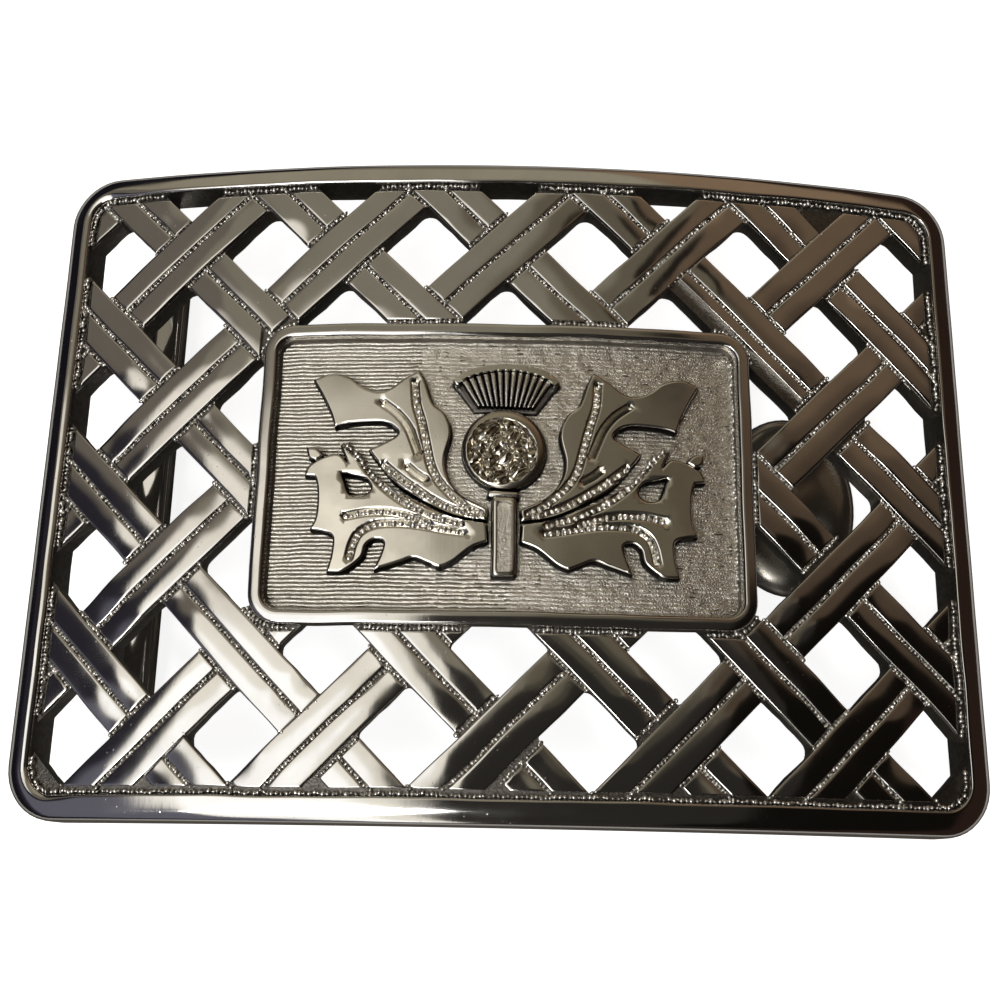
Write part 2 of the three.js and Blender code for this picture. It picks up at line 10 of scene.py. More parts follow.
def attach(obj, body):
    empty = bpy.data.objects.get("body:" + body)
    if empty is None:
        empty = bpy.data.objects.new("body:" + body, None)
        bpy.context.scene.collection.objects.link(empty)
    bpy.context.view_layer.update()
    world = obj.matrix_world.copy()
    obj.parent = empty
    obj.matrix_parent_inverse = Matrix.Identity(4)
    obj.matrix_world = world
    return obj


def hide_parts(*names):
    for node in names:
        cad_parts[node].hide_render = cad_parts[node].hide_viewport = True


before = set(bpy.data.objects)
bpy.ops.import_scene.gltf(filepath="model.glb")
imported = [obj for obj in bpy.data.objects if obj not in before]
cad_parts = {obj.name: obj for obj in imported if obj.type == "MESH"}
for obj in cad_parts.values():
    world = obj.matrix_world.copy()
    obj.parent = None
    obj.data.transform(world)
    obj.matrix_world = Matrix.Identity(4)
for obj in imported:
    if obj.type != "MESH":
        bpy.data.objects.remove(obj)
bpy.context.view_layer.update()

# A chromed kilt belt buckle lying on its back. Sizes are millimetres: u runs along the bow, v up the
# front, and w is the height above the straps. The bow turns them into the frame's metres.

mm = 0.001

casting = {
    "width": 92.0, "height": 65.4, "thickness": 3.2, "bowRise": 5.7, "crown": 16.4,
    "ground": -0.5, "waviness": 0.03, "wave": 6.0, "stray": 0.11, "strayWave": 5.5, "calmEdge": 2.5,
}
bowRadius = ((casting["width"] / 2) ** 2 + casting["bowRise"] ** 2) / (2 * casting["bowRise"])
halfWidth = casting["width"] / 2
halfHeight = casting["height"] / 2


def smoothStep(x):
    x = np.clip(x, 0.0, 1.0)
    return x * x * (3 - 2 * x)


def strayed(u, v):
    # Hand finishing pulls every edge a little out of line, but leaves the outer edge of the rim
    calm = smoothStep((halfWidth - np.abs(u)) / casting["calmEdge"])
    calm *= smoothStep((halfHeight - np.abs(v)) / casting["calmEdge"]) * casting["stray"]
    wave = casting["strayWave"]
    pull = np.array([[noise.noise(Vector((a / wave, b / wave, depth))) for depth in (3.0, 7.0)]
                     for a, b in zip(u, v)])
    return u + pull[:, 0] * calm, v + pull[:, 1] * calm


def onBow(points):
    u, v, w = np.asarray(points, float).reshape(-1, 3).T
    u, v = strayed(u, v)
    angle = u / bowRadius
    reach = bowRadius + w
    z = reach * np.cos(angle) - bowRadius + casting["crown"]
    return np.column_stack([reach * np.sin(angle), v, z]) * mm


def wavy(u, v, seed=0.0, wave=None):  # the slow unevenness that hand polishing leaves
    wave = wave or casting["wave"]
    return noise.noise(Vector((u / wave, v / wave, seed)))


# Materials

def linear(hexColour):
    parts = [int(hexColour[i:i + 2], 16) / 255 for i in (1, 3, 5)]
    return [c / 12.92 if c <= 0.04045 else ((c + 0.055) / 1.055) ** 2.4 for c in parts] + [1.0]


def addNode(tree, kind, settings=None, inputs=None, links=None):
    node = tree.nodes.new(kind)
    for name, value in (settings or {}).items():
        setattr(node, name, value)
    for name, value in (inputs or {}).items():
        node.inputs[name].default_value = value
    for name, source in (links or {}).items():
        tree.links.new(source, node.inputs[name])
    return node


def newMaterial(name):
    material = bpy.data.materials.new(name)
    material.use_nodes = True
    tree = material.node_tree
    tree.nodes.clear()
    shader = addNode(tree, "ShaderNodeBsdfPrincipled", inputs={"Metallic": 1.0})
    addNode(tree, "ShaderNodeOutputMaterial", links={"Surface": shader.outputs["BSDF"]})
    place = addNode(tree, "ShaderNodeTexCoord").outputs["Object"]
    return material, tree, shader, place


polishedLook = {
    "colour": "#dad8d4", "worn": "#bdbab5", "roughness": 0.07, "haze": 0.15, "patchSize": 6.0,
    "scratchSize": 0.35, "scratchDepth": 0.004, "pitSize": 0.9, "pitDepth": 0.01,
}


def polishedChrome(name, **changes):
    # Chrome plating over hand-polished zinc: a mirror with faint haze, hairline scratches and a few pits
    look = {**polishedLook, **changes}
    material, tree, shader, place = newMaterial(name)
    patches = addNode(tree, "ShaderNodeTexNoise",
                      inputs={"Scale": 1 / (look["patchSize"] * mm), "Detail": 4.0, "Roughness": 0.6},
                      links={"Vector": place}).outputs["Fac"]
    tint = addNode(tree, "ShaderNodeMix", {"data_type": "RGBA"},
                   {6: linear(look["colour"]), 7: linear(look["worn"])}, {0: patches})
    tree.links.new(tint.outputs[2], shader.inputs["Base Color"])
    haze = addNode(tree, "ShaderNodeMapRange",
                   inputs={"From Min": 0.4, "From Max": 0.75,
                           "To Min": look["roughness"], "To Max": look["haze"]},
                   links={"Value": patches})
    tree.links.new(haze.outputs["Result"], shader.inputs["Roughness"])
    stretched = addNode(tree, "ShaderNodeMapping",
                        inputs={"Scale": (1.0, 0.12, 1.0), "Rotation": (0, 0, 0.7)}, links={"Vector": place})
    scratches = addNode(tree, "ShaderNodeTexNoise",
                        inputs={"Scale": 1 / (look["scratchSize"] * mm), "Detail": 2.0},
                        links={"Vector": stretched.outputs["Vector"]})
    pits = addNode(tree, "ShaderNodeTexVoronoi", inputs={"Scale": 1 / (look["pitSize"] * mm)},
                   links={"Vector": place})
    pitDepth = addNode(tree, "ShaderNodeMapRange",
                       inputs={"From Min": 0.03, "From Max": 0.1, "To Min": 0.0, "To Max": 1.0},
                       links={"Value": pits.outputs["Distance"]})
    fine = addNode(tree, "ShaderNodeBump", inputs={"Strength": 0.25, "Distance": look["scratchDepth"] * mm},
                   links={"Height": scratches.outputs["Fac"]})
    bump = addNode(tree, "ShaderNodeBump", inputs={"Strength": 0.35, "Distance": look["pitDepth"] * mm},
                   links={"Height": pitDepth.outputs["Result"], "Normal": fine.outputs["Normal"]})
    tree.links.new(bump.outputs["Normal"], shader.inputs["Normal"])
    return material


castLook = {"colour": "#8f8a82", "deep": "#2c2a27", "roughness": 0.34, "grain": 0.22, "grainDepth": 0.07}


def castChrome(name, **changes):
    # Plated as cast: the wheel never reached it, so it keeps the grain of the mould and glitters
    look = {**castLook, **changes}
    material, tree, shader, place = newMaterial(name)
    grain = addNode(tree, "ShaderNodeTexNoise",
                    inputs={"Scale": 1 / (look["grain"] * mm), "Detail": 3.0, "Roughness": 0.65},
                    links={"Vector": place}).outputs["Fac"]
    tint = addNode(tree, "ShaderNodeMix", {"data_type": "RGBA"},
                   {6: linear(look["deep"]), 7: linear(look["colour"])}, {0: grain})
    tree.links.new(tint.outputs[2], shader.inputs["Base Color"])
    shader.inputs["Roughness"].default_value = look["roughness"]
    bump = addNode(tree, "ShaderNodeBump", inputs={"Strength": 0.8, "Distance": look["grainDepth"] * mm},
                   links={"Height": grain})
    tree.links.new(bump.outputs["Normal"], shader.inputs["Normal"])
    return material


chrome = polishedChrome("polished_chrome")
satin = polishedChrome("satin_chrome", colour="#e2ded4", worn="#c4bfb4", roughness=0.15, haze=0.24)
worn = polishedChrome("worn_chrome", colour="#c9c4ba", worn="#8f897d", roughness=0.22, haze=0.4)
scaleCast = polishedChrome("scaled_chrome", colour="#cbc5b8", worn="#aaa394", roughness=0.2, haze=0.3)
roughCast = castChrome("cast_chrome")
wallCast = castChrome("cast_chrome_wall", colour="#8f8a83", deep="#4d4944", roughness=0.45, grain=0.5)
# Near-black finish for the drafted feet and undersides of the raised forms: painted shade, standing in for
# the shade and dark reflections round their foot
shadedFootCast = castChrome("cast_chrome_foot_painted_shade", colour="#24221f", deep="#100f0e", roughness=0.5, grain=0.5)
beadCast = castChrome("beaded_chrome", colour="#fffdf8", deep="#cfc9be", roughness=0.32, grainDepth=0.02)
groundCast = castChrome("lined_chrome", colour="#fffaf0", deep="#948d7c", roughness=0.26, grain=0.17,
                        grainDepth=0.09)
ribCast = castChrome("ribbed_chrome", colour="#fbf9f4", deep="#a49e92", roughness=0.24, grainDepth=0.05)
# A darker finish for the faces at the bottoms of the crisp engraved lines: painted shade in the grooves
shadedLineCast = castChrome("line_chrome_painted_shade", colour="#9a9487", deep="#4a463e", roughness=0.35, grain=0.3)
print("materials ready")


# Meshes

def makePiece(name, shells, replaced=(), bent=True, sharp=38):
    # Each shell is (points, faces, a material or one for each face); bmesh turns the faces outwards
    mesh = bpy.data.meshes.new(name)
    points, faces, finishes, materials = [], [], [], []
    for shellPoints, shellFaces, finish in shells:
        perFace = finish if isinstance(finish, list) else [finish] * len(shellFaces)
        for material in perFace:
            if material not in materials:
                materials.append(material)
        start = len(points)
        points.extend(np.asarray(shellPoints, float).tolist())
        faces.extend([[start + int(i) for i in face] for face in shellFaces])
        finishes.extend(materials.index(material) for material in perFace)
    placed = onBow(points) if bent else np.asarray(points) * mm
    mesh.from_pydata(placed.tolist(), [], faces)
    for material in materials:
        mesh.materials.append(material)
    mesh.polygons.foreach_set("material_index", finishes)
    work = bmesh.new()
    work.from_mesh(mesh)
    bmesh.ops.remove_doubles(work, verts=work.verts, dist=1e-7)
    bmesh.ops.delete(work, geom=[v for v in work.verts if not v.link_faces], context="VERTS")
    bmesh.ops.recalc_face_normals(work, faces=work.faces)
    work.to_mesh(mesh)
    work.free()
    mesh.polygons.foreach_set("use_smooth", [True] * len(mesh.polygons))
    mesh.set_sharp_from_angle(angle=math.radians(sharp))
    return dress(addObject(name, mesh), replaced)


def addObject(name, data):
    thing = bpy.data.objects.new(name, data)
    bpy.context.scene.collection.objects.link(thing)
    return thing


def dress(piece, replaced=()):
    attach(piece, "root")
    if replaced:
        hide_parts(*replaced)
    triangles = sum(len(p.vertices) - 2 for p in piece.data.polygons)
    print(piece.name, triangles, "triangles")
    return piece


def gridFaces(rows, columns):
    return [(i, i + 1, i + columns + 1, i + columns)
            for i in (r * columns + c for r in range(rows - 1) for c in range(columns - 1))]


def sweep(sections):
    # Skin over strips that follow one another round a closed route; they stay open along both edges
    count = len(sections[0])
    points = [p for section in sections for p in section]
    faces = []
    for i in range(len(sections)):
        near, far = i * count, ((i + 1) % len(sections)) * count
        faces.extend((near + k, near + k + 1, far + k + 1, far + k) for k in range(count - 1))
    return points, faces


def closeBelow(points, faces, rows, columns, foot):
    # Adds the sides and the underside of a grid of points
    border = list(range(columns)) + [r * columns + columns - 1 for r in range(1, rows)]
    border += [(rows - 1) * columns + c for c in range(columns - 2, -1, -1)]
    border += [r * columns for r in range(rows - 2, 0, -1)]
    start, count = len(points), len(border)
    points.extend([(points[i][0], points[i][1], foot) for i in border])
    for k in range(count):
        following = (k + 1) % count
        faces.append((border[k], border[following], start + following, start + k))
    faces.append(tuple(range(start, start + count)))


def loft(loops):
    # Skin over loops with a cap at each end
    count = len(loops[0])
    points = [p for loop in loops for p in loop]
    faces = []
    for i in range(len(loops) - 1):
        near, far = i * count, (i + 1) * count
        for k in range(count):
            following = (k + 1) % count
            faces.append((near + k, near + following, far + following, far + k))
    faces.append(tuple(range(count))[::-1])
    last = (len(loops) - 1) * count
    faces.append(tuple(range(last, last + count)))
    return points, faces


# Plane geometry

def clipped(polygon, normal, offset):
    # The part of a convex outline with normal . p <= offset
    kept = []
    for i, a in enumerate(polygon):
        b = polygon[(i + 1) % len(polygon)]
        da, db = float(np.dot(normal, a)) - offset, float(np.dot(normal, b)) - offset
        if da <= 0:
            kept.append(np.asarray(a, float))
        if da * db < 0:
            kept.append(a + (np.asarray(b, float) - a) * da / (da - db))
    return kept


def area(polygon):
    return 0.5 * abs(sum(a[0] * b[1] - a[1] * b[0] for a, b in zip(polygon, polygon[1:] + polygon[:1])))


def insideOutline(points, outline):
    x, y = points[:, 0], points[:, 1]
    inside = np.zeros(len(points), bool)
    for a, b in zip(outline, np.roll(outline, -1, axis=0)):
        crosses = (a[1] > y) != (b[1] > y)
        with np.errstate(divide="ignore", invalid="ignore"):
            at = a[0] + (y - a[1]) * (b[0] - a[0]) / (b[1] - a[1])
        inside ^= crosses & (x < at)
    return inside


def distanceTo(points, route, closed=False):
    ends = np.roll(route, -1, axis=0) if closed else route[1:]
    starts = route if closed else route[:-1]
    best = np.full(len(points), 1e9)
    for a, b in zip(starts, ends):
        along = b - a
        length2 = max(float(along @ along), 1e-12)
        t = np.clip(((points - a) @ along) / length2, 0, 1)
        best = np.minimum(best, np.hypot(*(points - a - t[:, None] * along).T))
    return best


def withinLoops(points, loops):
    # Inside the first outline and outside the others
    inside = insideOutline(points, loops[0])
    for loop in loops[1:]:
        inside &= ~insideOutline(points, loop)
    return inside


def nearestLoop(points, loops):
    return np.min([distanceTo(points, loop, True) for loop in loops], axis=0)


def grown(polygon, amount):
    # A convex outline with every edge moved outwards
    middle = np.mean(polygon, axis=0)
    lines = []
    for i, a in enumerate(polygon):
        along = polygon[(i + 1) % len(polygon)] - a
        normal = np.array([along[1], -along[0]]) / np.linalg.norm(along)
        if normal @ (a - middle) < 0:
            normal = -normal
        lines.append((normal, normal @ a + amount))
    return [np.linalg.solve(np.array([before[0], here[0]]), np.array([before[1], here[1]]))
            for before, here in zip([lines[-1], *lines], lines)]


def roundedOutline(polygon, radius, arcSteps=5, edgeSteps=5):
    # A convex outline with its corners rounded: each corner and edge always has the same number of points
    corners = [np.asarray(p, float) for p in polygon]
    count = len(corners)
    arcs = []
    for i, corner in enumerate(corners):
        before, after = corners[i - 1] - corner, corners[(i + 1) % count] - corner
        reachA, reachB = np.linalg.norm(before), np.linalg.norm(after)
        a, b = before / reachA, after / reachB
        half = math.acos(max(-1.0, min(1.0, float(a @ b)))) / 2
        tangent = min(radius / math.tan(half), 0.46 * reachA, 0.46 * reachB)
        r = tangent * math.tan(half)
        bisector = (a + b) / np.linalg.norm(a + b)
        centre = corner + bisector * r / math.sin(half)
        start, end = corner + a * tangent - centre, corner + b * tangent - centre
        sweepAngle = math.pi - 2 * half
        side = np.sign(start[0] * end[1] - start[1] * end[0]) or 1.0
        arc = []
        for k in range(arcSteps + 1):
            turn = side * sweepAngle * k / arcSteps
            c, s = math.cos(turn), math.sin(turn)
            arc.append(centre + np.array([c * start[0] - s * start[1], s * start[0] + c * start[1]]))
        arcs.append(arc)
    loop = []
    for i, arc in enumerate(arcs):
        loop.extend(arc)
        following = arcs[(i + 1) % count][0]
        loop.extend(arc[-1] + (following - arc[-1]) * k / edgeSteps for k in range(1, edgeSteps))
    return np.array(loop)


def roundedRectangle(width, height, radius, spacing=1.5, arcSteps=10):
    halfU, halfV = width / 2 - radius, height / 2 - radius
    corners, ahead = [(1, 1), (-1, 1), (-1, -1), (1, -1)], [(-1, 0), (0, -1), (1, 0), (0, 1)]
    loop = []
    for quarter, ((su, sv), (au, av)) in enumerate(zip(corners, ahead)):
        for k in range(arcSteps + 1):
            angle = (quarter + k / arcSteps) * math.pi / 2
            loop.append((su * halfU + radius * math.cos(angle), sv * halfV + radius * math.sin(angle)))
        run = 2 * halfU if quarter % 2 == 0 else 2 * halfV
        steps = max(2, round(run / spacing))
        u, v = loop[-1]
        loop.extend((u + au * run * k / steps, v + av * run * k / steps) for k in range(1, steps))
    return np.array(loop)


def insetRectangle(outer, width, height, radius, inset):
    # Moves each point of a rounded rectangle inwards, square to its outline
    halfU, halfV = width / 2 - radius, height / 2 - radius
    centre = np.column_stack([np.clip(outer[:, 0], -halfU, halfU), np.clip(outer[:, 1], -halfV, halfV)])
    out = outer - centre
    length = np.hypot(*out.T)
    return centre + out * ((length - inset) / length)[:, None]


def triangulated(loops, fill):
    # Constrained triangles over outlines and loose points
    points = [tuple(p) for loop in loops for p in loop] + [tuple(p) for p in fill]
    edges, start = [], 0
    for loop in loops:
        edges.extend((start + k, start + (k + 1) % len(loop)) for k in range(len(loop)))
        start += len(loop)
    out, _, faces, *_ = delaunay_2d_cdt([Vector(p) for p in points], edges, [], 0, 1e-6, False)
    return np.array([tuple(p) for p in out]), np.array([tuple(f) for f in faces])


def catmull(run, spacing=0.16):
    # A smooth curve through the points of a run
    run = [np.asarray(p, float) for p in run]
    padded = [2 * run[0] - run[1], *run, 2 * run[-1] - run[-2]]
    curve = []
    for i in range(1, len(padded) - 2):
        a, b, c, d = padded[i - 1:i + 3]
        steps = max(2, round(np.linalg.norm(c - b) / spacing))
        for t in (k / steps for k in range(steps)):
            curve.append(0.5 * (2 * b + (c - a) * t + (2 * a - 5 * b + 4 * c - d) * t * t
                                + (3 * b - a - 3 * c + d) * t ** 3))
    return curve + [run[-1]]


def leftOf(ahead):
    # Unit vectors square to the given ones
    ahead = ahead / np.maximum(np.hypot(*ahead.T), 1e-9)[:, None]
    return np.column_stack([-ahead[:, 1], ahead[:, 0]])


def offsetPoints(outline, inset):
    # Points moved off a closed outline to its inner side
    before, after = np.roll(outline, 1, axis=0), np.roll(outline, -1, axis=0)
    signed = np.sum(outline[:, 0] * after[:, 1] - outline[:, 1] * after[:, 0])
    return outline + leftOf(after - before) * inset * (1 if signed > 0 else -1)


def thinned(points, spacing):
    # Drops each point that lies closer than the spacing to one already kept
    kept, cells = [], {}
    for p in points:
        cell = (math.floor(p[0] / spacing), math.floor(p[1] / spacing))
        near = [q for du in (-1, 0, 1) for dv in (-1, 0, 1)
                for q in cells.get((cell[0] + du, cell[1] + dv), ())]
        if all((p[0] - q[0]) ** 2 + (p[1] - q[1]) ** 2 > spacing * spacing for q in near):
            kept.append(p)
            cells.setdefault(cell, []).append(p)
    return np.array(kept)


# The woven lattice

weave = {
    "pitch": 16.12, "strap": 5.0, "rise": 7.24, "shift": -0.15, "endGap": 0.35,
    "stray": {-4: -0.05, -3: -0.086, -2: 0.02, -1: 0.066, 0: -0.04, 1: -0.02, 2: 0.014, 3: 0.05},
}
rim = {"width": 2.4, "crown": 0.4, "back": 3.5, "radius": 5.0, "channel": 0.75, "facet": 0.5,
       "facetFrom": 1.78, "facetStart": 37.5, "facetFade": 5.0}
plaque = {"width": 47.4, "height": 29.8, "radius": 3.0, "rim": 1.6, "crown": 0.5, "field": 0.9,
          "ledge": 0.55, "seat": 1.3}
diagonal = math.sqrt(0.5)
rise, fall = np.array([diagonal, diagonal]), np.array([diagonal, -diagonal])
unitLength = 2 * weave["pitch"] * diagonal - weave["strap"] - 2 * weave["endGap"]
strapNumbers = range(-5, 6)


def crossing(rising, falling):
    # Where two straps cross; halfway between straps the strays of both neighbours count
    stray = sum(weave["stray"].get(side(rising), 0.0) for side in (math.floor, math.ceil)) / 2
    risingLine = rising * weave["pitch"] + weave["rise"] - weave["shift"] + stray * weave["strap"]
    fallingLine = falling * weave["pitch"] + weave["rise"] + weave["shift"]
    return np.array([(fallingLine - risingLine) / 2, (fallingLine + risingLine) / 2])


def strapUnits():
    for rising in strapNumbers:
        for falling in strapNumbers:
            centre = crossing(rising, falling)
            if abs(centre[0]) < halfWidth + 10 and abs(centre[1]) < halfHeight + 10:
                yield rising, falling, centre, rise if (rising + falling) % 2 == 0 else fall


def frameCuts(halfU, halfV, radius, slack=0.0):
    # Half planes round a rounded rectangle: its four sides and the slants across its corners
    cuts = [(np.array(n, float), reach + slack) for n, reach in
            (((1, 0), halfU), ((-1, 0), halfU), ((0, 1), halfV), ((0, -1), halfV))]
    slant = (halfU - radius) * diagonal + (halfV - radius) * diagonal + radius
    return cuts + [(np.array(n) * diagonal, slant + slack) for n in ((1, 1), (-1, 1), (-1, -1), (1, -1))]


def rimCuts(inset, slack=0.0):
    return frameCuts(halfWidth - inset, halfHeight - inset, max(rim["radius"] - inset, 0.8), slack)


def plaqueCuts(outset):
    return frameCuts(plaque["width"] / 2 + outset, plaque["height"] / 2 + outset, plaque["radius"] + outset)


def withinRim(polygon, inset, slack=0.0):
    for normal, reach in rimCuts(inset, slack):
        polygon = clipped(polygon, normal, reach)
        if len(polygon) < 3:
            return []
    return polygon


def clearOfPlaque(polygon, outset):
    # The largest part of a convex outline that lies beyond one side or corner of the plaque
    best = []
    for normal, reach in plaqueCuts(outset):
        part = clipped(polygon, -normal, -reach)
        if len(part) >= 3 and (not best or area(part) > area(best)):
            best = part
    return best


def withoutShortEdges(polygon, shortest):
    kept = []
    for p in polygon:
        if not kept or np.linalg.norm(p - kept[-1]) > shortest:
            kept.append(p)
    while len(kept) > 2 and np.linalg.norm(kept[0] - kept[-1]) <= shortest:
        kept.pop()
    return kept


band = {
    "width": 2.31, "edge": 0.13, "drop": 0.09, "dip": 0.14, "dipReach": 4.2, "crown": 0.045, "root": 0.25,
    "tilt": 0.016, "inset": 0.02, "smallest": 0.9, "narrowest": 0.5, "plainCorner": (5.0, 5.5),
    "lip": (0.025, 0.065, 0.13, 0.3), "stations": 26, "grain": 0.008, "grainWave": 2.2,
}


def edgeDrop(distance):
    # How far a rounded edge lies below the flat beside it
    share = 1 - np.clip(distance / band["edge"], 0, 1)
    return band["drop"] * (1 - math.sqrt(max(0.0, 1 - share ** 2.2)))


def bandGrid(outline, rows):
    # For each row across the band, where along it the points lie; outline and rows are (along, across)
    lip = (0, *band["lip"])
    grid = []
    for t in rows:
        hits = []
        for (sa, ta), (sb, tb) in zip(outline, outline[1:] + outline[:1]):
            if (ta - t) * (tb - t) <= 0 and ta != tb:
                hits.append(sa + (sb - sa) * (t - ta) / (tb - ta))
        low, high = min(hits), max(hits)
        room = high - low
        ease = [d * min(1.0, room / 1.4) for d in lip]
        steps = band["stations"] - 1
        inner = [low + ease[-1] + (room - 2 * ease[-1]) * k / steps for k in range(1, steps)]
        grid.append([low + d for d in ease] + inner + [high - d for d in reversed(ease)])
    return grid


def bandShell(centre, direction, side, seed):
    across = np.array([-direction[1], direction[0]])
    middle = centre + across * side * ((weave["strap"] - band["width"]) / 2 - band["inset"])
    halfLength, halfBand = unitLength / 2, band["width"] / 2
    corners = [middle + direction * s * halfLength + across * t * halfBand
               for s, t in ((-1, -1), (1, -1), (1, 1), (-1, 1))]
    outline = withinRim(corners, rim["width"] + rim["channel"])
    outline = clearOfPlaque(outline, plaque["ledge"]) if outline else []
    if len(outline) < 3 or area(outline) < band["smallest"]:
        return None
    heart = np.mean(outline, axis=0)
    if halfWidth - abs(heart[0]) < band["plainCorner"][0] and heart[1] + halfHeight < band["plainCorner"][1]:
        return None  # both lower corners are plain
    outline = [(float((p - middle) @ direction), float((p - middle) @ across)) for p in outline]
    low, high = min(t for _, t in outline), max(t for _, t in outline)
    if high - low < band["narrowest"]:
        return None
    share = min(1.0, (high - low) / band["width"])
    rows = [low + 0.004] + [low + d * share for d in band["lip"]]
    rows += [low + (high - low) * k for k in (0.33, 0.5, 0.67)]
    rows += [high - d * share for d in reversed(band["lip"])] + [high - 0.004]
    dips = [1 + 1.8 * noise.noise(Vector((seed, 2.1, k))) for k in (1.4, 8.8)]
    roll, pitch = [band["tilt"] * 2.2 * noise.noise(Vector((seed, 7.7, k))) for k in (0.3, 5.9)]
    grid = bandGrid(outline, rows)
    top = []
    for t, row in zip(rows, grid):
        for s in row:
            u, v = middle + direction * s + across * t
            drop = edgeDrop(min(t - low, high - t) / share) + edgeDrop(min(s - row[0], row[-1] - s))
            ends = smoothStep((abs(s) - (halfLength - band["dipReach"])) / band["dipReach"])
            ends *= dips[0] if s < 0 else dips[1]
            crown = band["crown"] * (2 * t / band["width"]) ** 2
            w = -min(drop, band["drop"]) - band["dip"] * ends - crown + roll * t + pitch * s * 0.25
            uneven = casting["waviness"] * wavy(u, v, seed)
            w += uneven + band["grain"] * wavy(u, v, seed + 5, band["grainWave"])
            top.append((u, v, w))
    faces = gridFaces(len(rows), len(grid[0]))
    closeBelow(top, faces, len(rows), len(grid[0]), casting["ground"] - band["root"])
    return top, faces, chrome


def strapBands():
    shells = [bandShell(centre, direction, side, rising * 3.1 + falling * 1.7 + side * 0.4)
              for rising, falling, centre, direction in strapUnits() for side in (-1, 1)]
    return makePiece("strap_bands", [shell for shell in shells if shell])


opening = {
    "frontRadius": 0.3, "backRadius": 1.25, "levels": (0.3, 0.62, 1.0), "wobble": 0.1, "swell": 0.12,
    "reach": 0.3, "smallest": 3.0, "shortest": 0.5, "draft": 0.5, "border": 3.0, "topRight": 24.0,
    "topMiddle": 4.0, "topShape": ((0, 0), (3.1, 3.1), (2.4, 4.3), (-2.4, 4.3), (-3.1, 3.1)),
}


def openings():
    # Convex outlines of the holes between the straps, cut by the rim and by the plaque
    found = []
    step = weave["strap"] / 2 / diagonal
    for rising in strapNumbers:
        for falling in strapNumbers:
            u, v = crossing(rising + 0.5, falling + 0.5)
            atTop = v > halfHeight - opening["border"]
            atFoot = v < opening["border"] - halfHeight
            if abs(u) > halfWidth or v > halfHeight + 1 or atFoot or (atTop and u > opening["topRight"]):
                continue
            below, above = crossing(rising, falling), crossing(rising + 1, falling + 1)
            left, right = crossing(rising + 1, falling), crossing(rising, falling + 1)
            polygon = [below + (0, step), right + (-step, 0), above + (0, -step), left + (step, 0)]
            if atTop and abs(u) < opening["topMiddle"]:
                polygon = [below + (0, step) + p for p in opening["topShape"]]
            polygon = withinRim(polygon, rim["width"], opening["reach"])
            polygon = clearOfPlaque(polygon, -opening["reach"]) if polygon else []
            polygon = withoutShortEdges(polygon, opening["shortest"])
            if len(polygon) >= 3 and area(polygon) > opening["smallest"]:
                found.append(polygon)
    return found


holes = openings()
holeFronts = [roundedOutline(p, opening["frontRadius"]) for p in holes]
print(len(holes), "openings")


def insideHole(points, margin=0.0):
    inside = np.zeros(len(points), bool)
    for outline in holeFronts:
        near = np.abs(points - outline.mean(0)).max(1) < 9
        if near.any():
            spot = insideOutline(points[near], outline)
            if margin:
                spot |= distanceTo(points[near], outline, True) < margin
            inside[np.flatnonzero(near)] |= spot
    return inside


body = {"inset": 0.8, "step": 1.2, "spacing": 1.15, "shift": 0.31, "edgeRoom": 0.6, "holeRoom": 0.55,
        "windowRoom": 0.5, "windowRadius": 2.0, "grain": 0.07}


def latticeBody():
    # The ground between the straps, pierced by the openings and by a window under the plaque
    inset, seat, spacing = 2 * body["inset"], 2 * plaque["seat"], body["spacing"]
    edge = roundedRectangle(casting["width"] - inset, casting["height"] - inset,
                            rim["radius"] - body["inset"], body["step"])
    window = roundedRectangle(plaque["width"] - seat, plaque["height"] - seat, body["windowRadius"],
                              body["step"])
    us, vs = np.arange(-halfWidth, halfWidth, spacing), np.arange(-halfHeight, halfHeight, spacing)
    fill = np.array([(u + body["shift"] * spacing * (k % 2), v) for k, v in enumerate(vs) for u in us])
    fill = fill[withinLoops(fill, [edge, window])]
    fill = fill[(distanceTo(fill, edge, True) > body["edgeRoom"]) & ~insideHole(fill, body["holeRoom"])]
    fill = fill[distanceTo(fill, window, True) >= body["windowRoom"]]
    points, triangles = triangulated([edge, *holeFronts, window], fill)
    middles = points[triangles].mean(1)
    triangles = triangles[withinLoops(middles, [edge, window]) & ~insideHole(middles)]
    ground, back = casting["ground"], -casting["thickness"]
    shell = [(u, v, ground + body["grain"] * wavy(u, v, 9.0, 0.7)) for u, v in points]
    walls, lowest = [], {}
    start = len(edge)
    for polygon, front in zip(holes, holeFronts):
        previous = list(range(start, start + len(front)))
        for level in opening["levels"]:
            radius = opening["frontRadius"] + (opening["backRadius"] - opening["frontRadius"]) * level
            ring = roundedOutline(grown(polygon, opening["draft"] * level), radius)
            middle = ring.mean(0)
            current = list(range(len(shell), len(shell) + len(ring)))
            for p in ring:
                uneven = wavy(p[0], p[1], 3 + level, 2.2) + 0.6 * wavy(p[0], p[1], 8 + level, 0.8)
                inward = (middle - p) / np.linalg.norm(middle - p)
                swell = opening["swell"] * math.sin(level * math.pi) + opening["wobble"] * uneven
                shell.append((*(p + inward * swell), ground + (back - ground) * level))
            for k in range(len(ring)):
                following = (k + 1) % len(ring)
                walls.append((previous[k], previous[following], current[following], current[k]))
            previous = current
        lowest.update({start + k: index for k, index in enumerate(previous)})
        start += len(front)
    for i in sorted({int(i) for i in triangles.flat} - lowest.keys()):
        lowest[i] = len(shell)
        shell.append((*points[i], back))
    backFaces = [[lowest[int(i)] for i in reversed(t)] for t in triangles]
    for first, count in ((0, len(edge)), (start, len(window))):
        for k in range(count):
            near, far = first + k, first + (k + 1) % count
            walls.append((near, far, lowest[far], lowest[near]))
    faces = [*triangles.tolist(), *walls, *backFaces]
    finish = [roughCast] * len(triangles) + [wallCast] * (len(faces) - len(triangles))
    return makePiece("lattice_body", [(shell, faces, finish)], ["lattice_plate"], sharp=50)


